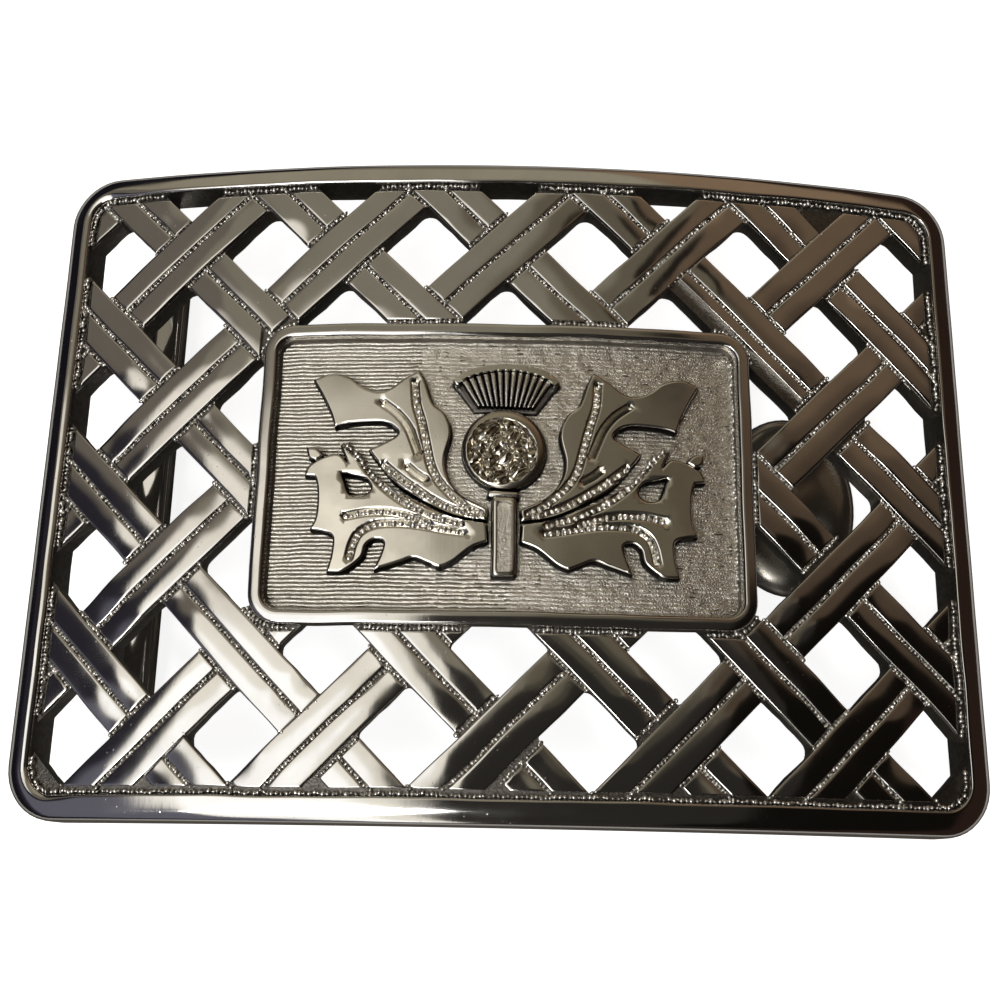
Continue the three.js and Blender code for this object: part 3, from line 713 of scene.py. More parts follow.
def framePiece(name, width, height, radius, polished, plain, seed, wobble, facet=None):
    # A frame whose profile of (how far in, height) is polished over the front and as cast elsewhere
    outer = roundedRectangle(width, height, radius, body["step"])
    shells = []
    for profile, material in ((polished, chrome), (plain, wallCast)):
        loops = [insetRectangle(outer, width, height, radius, inset) for inset, _ in profile]
        sections = []
        for i in range(len(outer)):
            section = []
            for (inset, w), loop in zip(profile, loops):
                u, v = loop[i]
                lift = wobble * wavy(u, v, seed) if w > -1 else 0.0
                section.append((u, v, w + lift + (facet(u, inset) if facet else 0.0)))
            sections.append(section)
        shells.append((*sweep(sections), material))
    return makePiece(name, shells, sharp=40)


def rimPiece():
    def facet(u, inset):  # the wheel leant inwards along the left side
        fade = smoothStep((-u - rim["facetStart"]) / rim["facetFade"])
        return -rim["facet"] * max(0.0, inset - rim["facetFrom"]) * fade

    w, crown, back = rim["width"], rim["crown"], rim["back"]
    polished = [(0.12, -back + 0.15), (0.03, -back + 0.4), (0, -2.4), (0, -0.8), (0.03, -0.5),
                (0.12, -0.27), (0.28, -0.1), (0.5, 0.04), (0.85, 0.17), (1.2, 0.26), (1.55, 0.325),
                (1.85, 0.37), (2.08, crown - 0.005), (2.22, crown), (2.3, crown - 0.03),
                (2.36, crown - 0.09), (2.39, 0.2)]
    plain = [polished[-1], (w, 0.0), (w, -2.2), (w - 0.08, -back + 0.2), (w - 0.4, -back), (0.5, -back),
             polished[0]]
    return framePiece("rim_frame", casting["width"], casting["height"], rim["radius"], polished, plain,
                      2.0, 0.05, facet)


def plaqueFrame():
    r, crown, back = plaque["rim"], plaque["crown"], -casting["thickness"]
    polished = [(0.0, -0.1), (0.02, 0.18), (0.06, 0.32), (0.14, 0.42), (0.26, 0.46), (0.45, 0.48),
                (0.7, 0.492), (0.95, crown), (1.1, crown - 0.01), (1.2, 0.45), (1.3, 0.34), (1.37, 0.14),
                (1.44, -0.25)]
    plain = [polished[-1], (r - 0.05, -0.7), (r, -1.4), (r - 0.1, back), (0.6, back), (0.5, -2.8),
             (0.0, -0.6), polished[0]]
    return framePiece("plaque_frame", plaque["width"], plaque["height"], plaque["radius"], polished, plain,
                      4.0, 0.04)


lines = {"pitch": 0.39, "depth": 0.07, "column": 0.28, "rough": 0.05, "grain": 0.035, "wander": 0.07,
         "section": (-1.0, -0.1, 0.55, 0.6, 0.2), "overlap": 0.15}


def lineShare(u, v):  # how crisp the engraved lines still are
    return max(smoothStep((-5 - u) / 7), 0.6 * smoothStep((-7 - v) / 4) * smoothStep((8 - u) / 12), 0.3)


def plaqueGround():
    # Engraved lines, crisp at the left and along the foot and broken up by the grain of the mould elsewhere
    halfU = plaque["width"] / 2 - plaque["rim"] + lines["overlap"]
    halfV = plaque["height"] / 2 - plaque["rim"] + lines["overlap"]
    section = lines["section"]
    columns = round(2 * halfU / lines["column"]) + 1
    rows = round(2 * halfV / lines["pitch"]) * len(section) + 1
    top = []
    for r in range(rows):
        v = -halfV + 2 * halfV * r / (rows - 1)
        for c in range(columns):
            u = -halfU + 2 * halfU * c / (columns - 1)
            crisp = lineShare(u, v)
            w = lines["depth"] * section[r % len(section)] * crisp * (0.85 + 0.5 * wavy(u, v, 12, 1.4))
            w += lines["grain"] * (1.2 - crisp) * wavy(u, v, 13, 0.42)
            w += lines["rough"] * wavy(u, v, 15, 1.1) - plaque["field"]
            top.append((u, v + lines["wander"] * wavy(u, v, 14, 1.5), w))
    faces, finish = gridFaces(rows, columns), []
    for i, *_ in faces:
        u, v, _ = top[i]
        # The faces at the bottom of each crisp line take the darker line finish: painted shade in the grooves
        edgeOfLine = i // columns % len(section) in (0, len(section) - 1)
        cut = edgeOfLine and lineShare(u, v) + 0.45 * wavy(u, v, 17, 0.7) > 0.5
        finish.append(shadedLineCast if cut else groundCast)
    closeBelow(top, faces, rows, columns, -casting["thickness"])
    finish += [wallCast] * (len(faces) - len(finish))
    return makePiece("plaque_ground", [(top, faces, finish)], sharp=80)


# Beads in the grooves

beads = {
    "pitch": 0.38, "radius": 0.19, "level": 0.24, "least": 0.5, "most": 1.5, "stray": 0.08, "sides": 8,
    "rings": 5, "middleRoom": (0.35, 0.3), "endRoom": (0.3, 0.2), "channelGap": 0.24, "ledgeGap": 0.28,
    "edgeLift": 0.1, "innerInset": 1.56, "innerLift": 0.12, "innerRun": (-10.5, 12.0), "veinLift": 0.04,
}


def beadTree(finish):
    tree = bpy.data.node_groups.new("beads_along_grooves", "GeometryNodeTree")
    face = tree.interface
    face.new_socket("Geometry", in_out="INPUT", socket_type="NodeSocketGeometry")
    for name in ("Pitch", "Bead radius", "Stray", "Least size", "Most size"):
        face.new_socket(name, in_out="INPUT", socket_type="NodeSocketFloat")
    face.new_socket("Geometry", in_out="OUTPUT", socket_type="NodeSocketGeometry")
    given = addNode(tree, "NodeGroupInput").outputs
    curve = addNode(tree, "GeometryNodeMeshToCurve", links={"Mesh": given["Geometry"]})
    spaced = addNode(tree, "GeometryNodeResampleCurve", {"mode": "LENGTH"},
                     links={"Curve": curve.outputs["Curve"], "Length": given["Pitch"]})
    spots = addNode(tree, "GeometryNodeCurveToPoints", {"mode": "EVALUATED"},
                    links={"Curve": spaced.outputs["Curve"]})
    shake = addNode(tree, "FunctionNodeRandomValue", {"data_type": "FLOAT_VECTOR"},
                    {0: (-1, -1, -1), 1: (1, 1, 1), "Seed": 4})
    offset = addNode(tree, "ShaderNodeVectorMath", {"operation": "SCALE"},
                     links={0: shake.outputs[0], "Scale": given["Stray"]})
    moved = addNode(tree, "GeometryNodeSetPosition",
                    links={"Geometry": spots.outputs["Points"], "Offset": offset.outputs[0]})
    bead = addNode(tree, "GeometryNodeMeshUVSphere",
                   inputs={"Segments": beads["sides"], "Rings": beads["rings"]},
                   links={"Radius": given["Bead radius"]})
    size = addNode(tree, "FunctionNodeRandomValue", {"data_type": "FLOAT_VECTOR"}, {"Seed": 9},
                   {0: given["Least size"], 1: given["Most size"]})
    turn = addNode(tree, "FunctionNodeRandomValue", {"data_type": "FLOAT_VECTOR"},
                   {0: (0, 0, 0), 1: (6.28, 6.28, 6.28), "Seed": 2})
    placed = addNode(tree, "GeometryNodeInstanceOnPoints",
                     links={"Points": moved.outputs["Geometry"], "Instance": bead.outputs["Mesh"],
                            "Rotation": turn.outputs[0], "Scale": size.outputs[0]})
    real = addNode(tree, "GeometryNodeRealizeInstances", links={"Geometry": placed.outputs["Instances"]})
    smooth = addNode(tree, "GeometryNodeSetShadeSmooth", links={"Geometry": real.outputs["Geometry"]})
    finished = addNode(tree, "GeometryNodeSetMaterial", inputs={"Material": finish},
                       links={"Geometry": smooth.outputs["Geometry"]})
    addNode(tree, "NodeGroupOutput", links={"Geometry": finished.outputs["Geometry"]})
    return tree


def beadsAlong(name, routes, tree, size=1.0):
    # Routes are runs of (u, v, w); the beads are set on them and turned into a plain mesh
    mesh = bpy.data.meshes.new(name + "_routes")
    points, edges = [], []
    for route in routes:
        start = len(points)
        points.extend(route)
        edges.extend((start + k, start + k + 1) for k in range(len(route) - 1))
    mesh.from_pydata(onBow(points).tolist(), edges, [])
    guide = addObject(name + "_routes", mesh)
    modifier = guide.modifiers.new("beads", "NODES")
    modifier.node_group = tree
    values = {"Pitch": beads["pitch"] * mm * size, "Bead radius": beads["radius"] * mm * size,
              "Stray": beads["stray"] * mm, "Least size": beads["least"], "Most size": beads["most"]}
    for item in tree.interface.items_tree:
        if item.in_out == "INPUT" and item.name in values:
            modifier[item.identifier] = values[item.name]
    evaluated = guide.evaluated_get(bpy.context.evaluated_depsgraph_get())
    result = bpy.data.meshes.new_from_object(evaluated)
    guide.modifiers.clear()
    bpy.data.objects.remove(guide)
    return dress(addObject(name, result))


def splitRuns(points, keep, least=2):
    # The unbroken stretches of a route whose points are kept
    runs, run = [], []
    for p, kept in zip([*points, None], [*keep, False]):
        if kept:
            run.append(p)
            continue
        if len(run) > least:
            runs.append(run)
        run = []
    return runs


def solidRuns(route, clearance=0.22, spacing=0.2):
    # The stretches of a route that lie on metal, not over an opening
    dense = [route[0]]
    for a, b in zip(route, route[1:]):
        steps = max(1, round(float(np.linalg.norm(b - a)) / spacing))
        dense.extend(a + (b - a) * k / steps for k in range(1, steps + 1))
    dense = np.array(dense)
    return splitRuns(dense, ~insideHole(dense, clearance), 4)


def weaveRuns(start, end, count, room):
    # The stretches of a straight groove that lie between the rim and the plaque
    spots = start + (end - start) * np.linspace(0, 1, count)[:, None]
    inRim = np.all([spots @ normal <= reach for normal, reach in rimCuts(rim["width"] + room[0])], axis=0)
    inPlaque = np.all([spots @ normal <= reach for normal, reach in plaqueCuts(room[1])], axis=0)
    return splitRuns(spots, inRim & ~inPlaque)


def atLevel(runs, level):
    return [[(p[0], p[1], level) for p in run] for run in runs]


def grooveRoutes():
    # Along the middle of each strap, and across both its ends
    middles, ends = [], []
    for rising, falling, centre, direction in strapUnits():
        along = direction * unitLength / 2
        middles += weaveRuns(centre - along, centre + along, 90, beads["middleRoom"])
        across = np.array([-direction[1], direction[0]]) * weave["strap"] / 2
        for side in (-1, 1):
            foot = centre + direction * side * (unitLength / 2 + weave["endGap"] * 0.55)
            ends += weaveRuns(foot - across, foot + across, 26, beads["endRoom"])
    level = casting["ground"] + beads["level"]
    return atLevel(middles, level), atLevel(ends, level)


def edgeRoutes():
    # Inside the rim, round the plaque's foot, and up the inner right side of the plaque's frame
    inset, ledge = rim["width"] + beads["channelGap"], beads["ledgeGap"]
    channel = roundedRectangle(casting["width"] - 2 * inset, casting["height"] - 2 * inset,
                               rim["radius"] - inset, 1.0, 6)
    outline = roundedRectangle(plaque["width"] + 2 * ledge, plaque["height"] + 2 * ledge,
                               plaque["radius"] + ledge, 1.0, 6)
    runs = [run for loop in (channel, outline) for run in solidRuns([*loop, loop[0]])]
    inner = [[(plaque["width"] / 2 - beads["innerInset"], v) for v in np.linspace(*beads["innerRun"], 90)]]
    level = casting["ground"] + beads["level"] + beads["edgeLift"]
    return atLevel(runs, level) + atLevel(inner, -plaque["field"] + beads["innerLift"])


# The thistle: its outlines are shares of its reach and rise, and a 1 marks a sharp tip

emblem = {"reach": 20.0, "rise": 10.0, "leaf": 1.1, "edge": 0.17, "edgeDrop": 0.11, "vein": 0.5,
          "veinHalf": 0.44, "root": 0.3, "draft": 0.17, "closest": 0.07}
upperLeaf = [
    (0.42, 1.0, 1), (0.5, 0.9, 0), (0.56, 0.81, 0), (0.62, 0.78, 0), (0.69, 0.83, 0), (0.76, 0.93, 0),
    (0.85, 0.97, 0), (0.935, 0.91, 1), (0.89, 0.76, 0), (0.84, 0.56, 0), (0.82, 0.43, 1), (0.74, 0.47, 0),
    (0.6, 0.48, 0), (0.53, 0.42, 0), (0.52, 0.33, 0), (0.645, 0.19, 1), (0.6, 0.07, 0), (0.51, -0.14, 0),
    (0.4, -0.28, 0), (0.24, -0.43, 0), (0.08, -0.49, 1), (0.075, -0.38, 1), (0.2, -0.25, 0),
    (0.265, -0.09, 0), (0.285, 0.1, 0), (0.26, 0.36, 0), (0.29, 0.55, 0), (0.35, 0.66, 0), (0.39, 0.88, 0)]
lowerLeaf = [
    (0.79, 0.27, 1), (0.73, 0.17, 0), (0.655, 0.0, 0), (0.535, -0.18, 0), (0.41, -0.32, 0),
    (0.25, -0.46, 0), (0.08, -0.52, 1), (0.075, -0.7, 1), (0.15, -0.76, 0), (0.24, -0.9, 0),
    (0.3, -0.95, 1), (0.36, -0.9, 0), (0.42, -0.86, 0), (0.48, -0.9, 0), (0.6, -0.98, 1), (0.57, -0.83, 0),
    (0.56, -0.71, 0), (0.6, -0.68, 0), (0.64, -0.74, 0), (0.66, -0.87, 0), (0.74, -0.99, 0),
    (0.82, -1.0, 1), (0.8, -0.84, 0), (0.8, -0.66, 0), (0.85, -0.61, 0), (0.91, -0.59, 1),
    (0.885, -0.45, 0), (0.885, -0.2, 0), (0.9, -0.07, 1), (0.95, -0.06, 1), (0.93, 0.04, 0),
    (0.86, 0.13, 0), (0.79, 0.15, 0), (0.745, 0.06, 1)]
leafPocket = [
    (0.77, -0.04, 0), (0.72, -0.06, 0), (0.65, -0.1, 0), (0.63, -0.2, 0), (0.67, -0.27, 0),
    (0.73, -0.25, 0), (0.755, -0.14, 0)]
sprig = [(0.95, 0.22, 1), (0.9, 0.21, 0), (0.865, 0.14, 1), (0.9, 0.09, 1), (0.935, 0.12, 0)]
veins = [
    [(0.59, 0.67), (0.52, 0.56), (0.465, 0.42), (0.43, 0.26), (0.41, 0.16)],
    [(0.44, 0.87), (0.43, 0.65), (0.4, 0.45), (0.375, 0.25), (0.35, 0.05), (0.315, -0.1), (0.25, -0.24),
     (0.18, -0.35), (0.11, -0.42)],
    [(0.46, 0.03), (0.42, -0.04), (0.37, -0.1)],
    [(0.57, 0.04), (0.49, -0.09), (0.41, -0.2), (0.33, -0.3), (0.25, -0.375), (0.14, -0.44)],
    [(0.755, 0.25), (0.7, 0.14), (0.64, -0.02), (0.575, -0.16), (0.5, -0.28), (0.425, -0.37),
     (0.325, -0.46), (0.2, -0.53)],
    [(0.745, -0.455), (0.65, -0.42), (0.55, -0.42), (0.45, -0.46), (0.35, -0.53)],
    [(0.715, -0.86), (0.7, -0.72), (0.67, -0.61), (0.6, -0.54), (0.5, -0.53), (0.4, -0.55), (0.3, -0.58),
     (0.19, -0.61)]]
beadedVeins = (1, 3, 4, 5, 6)


def emblemOutline(table, side):
    placed = [np.array([side * u * emblem["reach"], v * emblem["rise"]]) for u, v, _ in table]
    tips = [i for i, row in enumerate(table) if row[2]]
    if not tips:
        whole = np.array(catmull([placed[-2], placed[-1], *placed, placed[0], placed[1]]))
        away, half = np.linalg.norm(whole - placed[0], axis=1), len(whole) // 2
        return whole[int(np.argmin(away[:half])):half + int(np.argmin(away[half:]))]
    points = []
    for start, end in zip(tips, [*tips[1:], tips[0] + len(table)]):
        points.extend(catmull([placed[i % len(table)] for i in range(start, end + 1)])[:-1])
    return np.array(points)


def reliefShell(loops, height, edge, edgeLow, grooves=(), seed=0.0, spacing=0.5, lift=None, step=None,
                dark=0.0):
    # A raised form, with an outline and any pockets: its top follows the distance from its edges and
    # grooves, and where a lift leaves it below the dark level it takes the rougher, darker finish of the
    # walls, which is painted shade in its low parts
    outline = loops[0]
    rings = [offsetPoints(outline, d) for d in (edge * 0.3, edge * 0.65, edge, edge * 1.5)]
    rings += [offsetPoints(pocket, -d) for pocket in loops[1:] for d in (edge * 0.3, edge * 0.65, edge)]
    rows = [(route, np.array((0.0, 0.35, 0.7, 1.0, 1.3)) * half) for route, half in grooves]
    for route, offsets in [*rows, *([step] if step else [])]:
        square = leftOf(np.gradient(route, axis=0))
        rings += [route + square * d * side for d in offsets for side in (1, -1)]
    low, high = outline.min(0), outline.max(0)
    us, vs = np.arange(low[0], high[0], spacing), np.arange(low[1], high[1], spacing)
    fill = thinned(np.vstack([*rings, [(u, v) for v in vs for u in us]]), emblem["closest"])
    fill = fill[withinLoops(fill, loops)]
    fill = fill[nearestLoop(fill, loops) > emblem["closest"]]
    points, triangles = triangulated(loops, fill)
    triangles = triangles[withinLoops(points[triangles].mean(1), loops)]
    share = 1 - np.clip(nearestLoop(points, loops) / edge, 0, 1)
    w = -plaque["field"] + height - edgeLow * (1 - np.sqrt(np.maximum(0, 1 - share ** 2.2)))
    if grooves:
        depths = [1 - smoothStep(distanceTo(points, route) / half) for route, half in grooves]
        w -= emblem["vein"] * np.max(depths, axis=0)
    w += np.array([0.03 * wavy(u, v, seed, 3.5) for u, v in points])
    if lift:
        w += lift(points)
    shell = [*np.column_stack([points, w])]
    faces = triangles.tolist()
    finish = [wallCast if lift and w[t].mean() < dark else satin for t in triangles]
    start, foot = 0, len(shell)
    for order, loop in enumerate(loops):
        begin, count = len(shell), len(loop)
        drafted = offsetPoints(loop, emblem["draft"] * (1 if order else -1))
        shell.extend((u, v, -plaque["field"] - emblem["root"]) for u, v in drafted)
        for k in range(count):
            following = (k + 1) % count
            faces.append((start + k, start + following, begin + following, begin + k))
        start += count
    points, triangles = triangulated(loops, [])
    faces += (triangles[withinLoops(points[triangles].mean(1), loops)] + foot).tolist()
    # The drafted walls and the underside take the near-black foot finish: painted shade
    return shell, faces, finish + [shadedFootCast] * (len(faces) - len(finish))


def veinRoutes(side):
    return [np.array(catmull([(side * u * emblem["reach"], v * emblem["rise"]) for u, v in table], 0.25))
            for table in veins]


def thistleLeaves():
    shells = []
    for side in (-1, 1):
        grooves = [(route, emblem["veinHalf"]) for route in veinRoutes(side)]
        for tables in ((upperLeaf,), (lowerLeaf, leafPocket), (sprig,)):
            loops = [emblemOutline(table, side) for table in tables]
            shells.append(reliefShell(loops, emblem["leaf"], emblem["edge"], emblem["edgeDrop"],
                                      grooves, side))
    return makePiece("thistle_leaves", shells, sharp=50)


flower = {
    "tuft": [(0.15, 0.6, 1), (0.262, 0.895, 1), (0.23, 0.985, 0), (0.14, 1.055, 0), (0, 1.09, 0)],
    "archEdge": [(0.24, 0.885), (0.21, 0.948), (0.13, 1.014), (0, 1.047)],
    "tuftHeight": 0.3, "tuftFloor": 0.7, "arch": 1.15, "archHalf": 0.42,
    "archSteps": (-0.14, -0.07, 0.0, 0.08),
    "ribs": 13, "ribFoot": (0.135, 0.645), "ribHead": (0.22, 0.895), "ribArch": 0.11, "ribWidth": 0.36,
    "ribHeight": 0.95, "ribFlare": 0.12,
    "ball": 4.0, "ballCentre": (-0.1, 2.1), "ballHeight": 1.35, "ballEdge": 1.1, "ballDrop": 0.55,
    "ballSides": 128, "ballRings": 44, "scaleShift": (-0.25, -0.3), "scaleReach": 3.3, "scaleDepth": 0.5,
    "scaleLong": 1.25, "scaleWide": 0.8,
    "collar": {"centre": (-0.1, -2.4), "length": 2.9, "width": 0.6, "height": 1.25},
    "stemWidth": 2.2, "stemTop": -2.7, "stemFoot": -10.3, "stemHeight": 1.45, "stemBorder": 0.36,
    "stemPanel": 0.5,
}


def barShell(centre, direction, length, width, low, high, lean, material, panel=0.0, border=0.0, flare=0.0):
    # A bevelled bar; with a panel its top is sunk inside a border, and a flare widens its far end
    across = np.array([-direction[1], direction[0]])
    steps = [(low, -0.15), (high - lean, 0), (high - lean * 0.35, lean * 0.3), (high, lean)]
    if panel:
        steps += [(high, border), (high - panel * 0.6, border + 0.06), (high - panel, border + 0.14)]
    loops = []
    for w, inset in steps:
        halfL, halfW = length / 2 - inset, width / 2 - inset
        shape = [np.array(centre) + direction * s * halfL + across * t * (halfW + s * flare / 2)
                 for s, t in ((-1, -1), (1, -1), (1, 1), (-1, 1))]
        loops.append([(p[0], p[1], w) for p in roundedOutline(shape, min(halfW * 0.6, 0.3), 3, 4)])
    points, faces = loft(loops)
    count = len(loops[0])
    # The foot wall and the underside take the near-black foot finish: painted shade
    finish = [shadedFootCast] * count + [material] * (len(faces) - count - 2)
    return points, faces, finish + [shadedFootCast, groundCast if panel else material]


def ballShell():
    # The head of the thistle: a smooth cap over the top and the right of a crumple of little scales
    f = flower
    centre, field = np.array(f["ballCentre"]), -plaque["field"]
    crumple = centre + f["scaleShift"]

    def ballTop(u, v, share):
        edge = min(f["ball"] * (1 - share) / f["ballEdge"], 1.0)
        cap = f["ballHeight"] - f["ballDrop"] * (1 - math.sqrt(max(0.0, 1 - (1 - edge) ** 2)))
        a = (0.7 * (u + v) + 0.5 * wavy(u, v, 31, 1.6)) / f["scaleLong"]
        b = (0.7 * (v - u) + 0.5 * wavy(u, v, 32, 1.6)) / f["scaleWide"]
        distances, _ = noise.voronoi(Vector((a, b, 0.4)))
        flake = min(1.0, 2.2 * (distances[1] - distances[0])) - 0.5 * distances[0]
        inside = smoothStep((f["scaleReach"] - math.hypot(u - crumple[0], v - crumple[1])) / 0.3)
        return field + cap + inside * (f["scaleDepth"] * (flake - 0.75) - 0.1)

    turns = np.linspace(0, 2 * math.pi, f["ballSides"], endpoint=False)
    foot = [(*(centre + (f["ball"] + emblem["draft"]) * np.array([math.cos(turn), math.sin(turn)])),
             field - emblem["root"]) for turn in turns]
    loops = [foot]
    for share in np.linspace(1.0, 0.02, f["ballRings"]):
        spots = [centre + f["ball"] * share * np.array([math.cos(turn), math.sin(turn)]) for turn in turns]
        loops.append([(u, v, ballTop(u, v, share)) for u, v in spots])
    points, faces = loft(loops)
    # The foot wall takes the near-black foot finish: painted shade
    return points, faces, [shadedFootCast] * len(turns) + [scaleCast] * (len(faces) - len(turns))


def mirrored(table):
    return table + [(-row[0], *row[1:]) for row in reversed(table[:-1])]


def thistleFlower():
    f = flower
    field, root = -plaque["field"], -plaque["field"] - emblem["root"]
    scale = np.array([emblem["reach"], emblem["rise"]])
    archRoute = np.array(catmull([np.array(p) * scale for p in mirrored(f["archEdge"])], 0.2))

    def archLift(points):
        away = distanceTo(points, archRoute) - f["archHalf"] - f["archSteps"][0]
        reach = f["archSteps"][-1] - f["archSteps"][0]
        return (f["arch"] - f["tuftHeight"]) * (1 - smoothStep(away / reach))

    step = (archRoute, [f["archHalf"] + d for d in f["archSteps"]])
    tuft = emblemOutline(mirrored(f["tuft"]), 1)
    # Below the tuft floor level the tuft takes the darker wall finish: painted shade between the ribs
    shells = [reliefShell([tuft], f["tuftHeight"], 0.2, 0.16, (), 21, 0.4, archLift, step,
                          field + f["tuftFloor"])]
    for share in ((i + 0.5) / f["ribs"] * 2 - 1 for i in range(f["ribs"])):
        foot = np.array([share * f["ribFoot"][0], f["ribFoot"][1]]) * scale
        arch = f["ribArch"] * (1 - share * share)
        head = np.array([share * f["ribHead"][0], f["ribHead"][1] + arch]) * scale
        length = np.linalg.norm(head - foot)
        shells.append(barShell((foot + head) / 2, (head - foot) / length, length, f["ribWidth"], field,
                               field + f["ribHeight"], 0.1, ribCast, flare=f["ribFlare"]))
    shells.append(ballShell())
    collar, length = f["collar"], f["stemTop"] - f["stemFoot"]
    shells.append(barShell(collar["centre"], np.array([1.0, 0.0]), collar["length"], collar["width"], root,
                           field + collar["height"], 0.2, satin))
    shells.append(barShell((0.0, f["stemFoot"] + length / 2), np.array([0.0, 1.0]), length, f["stemWidth"],
                           root, field + f["stemHeight"], 0.22, satin, f["stemPanel"], f["stemBorder"]))
    return makePiece("thistle_flower", shells, sharp=50)


# Belt bar and hook stud

bar = {"width": 3.9, "thickness": 3.2, "x": -36.8, "postY": 30.3, "corner": 2.6, "bulge": 1.2, "gap": 0.3,
       "pad": 0.6}
stud = {"x": 29.6, "y": 1.4, "halfWidth": 7.1, "halfHeight": 9.7, "thickness": 3.0, "under": (0.55, 0.8),
        "over": (0.5, 0.7), "neckX": 26.3, "neckY": 0.9, "neck": 2.0,
        "fillet": ((1.5, 0.12), (1.22, 0.3), (1.06, 0.55), (1, 0.8))}


def seatLevel(x):  # just under the casting's back, where both are soldered on
    inner = bowRadius - casting["thickness"]
    return inner * math.cos(x / bowRadius) - bowRadius + casting["crown"] - bar["pad"]


def beltBar():
    # A section with rounded edges follows a post down, turns into the bar and climbs the other post
    radius, corner = bar["thickness"] / 2, bar["corner"]
    flat = bar["width"] / 2 - bar["bulge"]
    section = [(side * (flat + bar["bulge"] * math.cos(angle)), side * radius * math.sin(angle))
               for side in (1, -1) for angle in np.linspace(-math.pi / 2, math.pi / 2, 9)]
    reach = bar["postY"] - corner
    half = [(bar["postY"], seatLevel(bar["x"]) - bar["gap"], math.pi / 2),
            (bar["postY"], radius + corner + 0.3, math.pi / 2)]
    half += [(reach + corner * math.sin(turn), radius + corner * (1 - math.cos(turn)), turn)
             for turn in np.linspace(math.pi / 2, 0, 8)]
    straight = [(y, radius, 0.0) for y in np.linspace(reach, -reach, 24)[1:-1]]
    stations = half + straight + [(-y, z, -turn) for y, z, turn in reversed(half)]
    loops = [[(bar["x"] + a, y - b * math.sin(turn), z + b * math.cos(turn)) for a, b in section]
             for y, z, turn in stations]
    return makePiece("bar_of_belt", [(*loft(loops), chrome)], ["belt_bar"], bent=False)


def ovalRing(x, y, halfX, halfY, z):
    return [(x + halfX * math.cos(turn), y + halfY * math.sin(turn), z)
            for turn in np.linspace(0, 2 * math.pi, 56, endpoint=False)]


def hookStud():
    # A rounded oval button, and a round neck on a fillet
    loops = []
    for k in range(13):
        turn = k / 12 * math.pi
        least, power = stud["under"] if k <= 6 else stud["over"]
        share = least + (1 - least) * max(math.sin(turn), 0.0) ** power
        z = stud["thickness"] * (1 - math.cos(turn)) / 2
        loops.append(ovalRing(stud["x"], stud["y"], stud["halfWidth"] * share, stud["halfHeight"] * share, z))
    neck = stud["neck"]
    levels = [(neck * share, stud["thickness"] + neck * lift) for share, lift in stud["fillet"]]
    for radius, z in [*levels, (neck, seatLevel(stud["neckX"]) - bar["gap"])]:
        loops.append(ovalRing(stud["neckX"], stud["neckY"], radius, radius, z))
    return makePiece("button_of_hook", [(*loft(loops), worn)], ["hook_stud"], bent=False)


latticeBody()
strapBands()
rimPiece()
plaqueFrame()
plaqueGround()
thistleLeaves()
thistleFlower()
beltBar()
hookStud()
tree = beadTree(beadCast)
middles, ends = grooveRoutes()
beadsAlong("groove_beads", middles, tree)
beadsAlong("strap_end_beads", ends, tree)
beadsAlong("edge_beads", edgeRoutes(), tree, 1.1)
veinLevel = -plaque["field"] + emblem["leaf"] - emblem["vein"] + beads["veinLift"]
beadedRuns = [veinRoutes(side)[i] for side in (-1, 1) for i in beadedVeins]
beadsAlong("vein_beads", atLevel(beadedRuns, veinLevel), tree, 1.5)
print("pieces ready")


# Studio

studio = {
    "cameraPlace": (-0.39, -39.67, 138.35), "cameraTurn": (16.774, -0.306, 1.057), "lens": 48.99,
    "floor": "#f2f2f2", "floorReach": 3.0, "floorGlow": 0.86, "floorShade": "#6f6a62",
    "shadeReach": (14.0, 50.0), "shadeLeft": 0.75,
    "lightPlace": (-0.59, -0.85, 1.71), "lightSize": (0.6, 0.8), "lightPower": 13.0,
    "room": "#6e685b", "roomStrength": 1.5, "backdrop": "#f4f4f4",
}
# What the chrome mirrors, in degrees: from and to across (0 straight up, 90 right), from and to towards
# the top, softness, colour, and a brightness where it isn't 1
roomZones = [
    (-30, 60, -95, 3, 3, "#292624"),
    (-95, -46, -95, 95, 4, "#131217"),
    (-50, -29, 16, 44, 2.5, "#625c55"),
    (-70, -31, -95, 16.5, 2, "#25232a"),
    (-62, -31, -95, 4, 3, "#5b5b66"),
    (-30, 19, 11, 44, 2, "#787367"),
    (4, 19, 11, 44, 4, "#5c5649"),
    (-34, -7, 8, 19.5, 2.2, "#e9e4da"),
    (19, 50, 11, 95, 2, "#483c31"),
    (19, 60, 21, 95, 4, "#5e4f40"),
    (-50, 19, 38, 66, 3, "#8b8474"),
    (19, 60, 36, 72, 3, "#7b6753"),
    (-7, 26, -50, 10.5, 0.8, "#262422"),
    (25, 56, -60, 13, 1.2, "#0e0c0a"),
    (4, 17, 9.5, 13, 0.8, "#403d35"),
    (15, 19.5, 20, 31, 1.2, "#1c1815"),
    (50, 92, -95, 95, 4, "#261b16"),
    (-33.5, -8, -75, 12.6, 0.8, "#ebe7dd"),
    (-32, -14, -75, 9.5, 1.5, "#ffffff", 1.1),
]


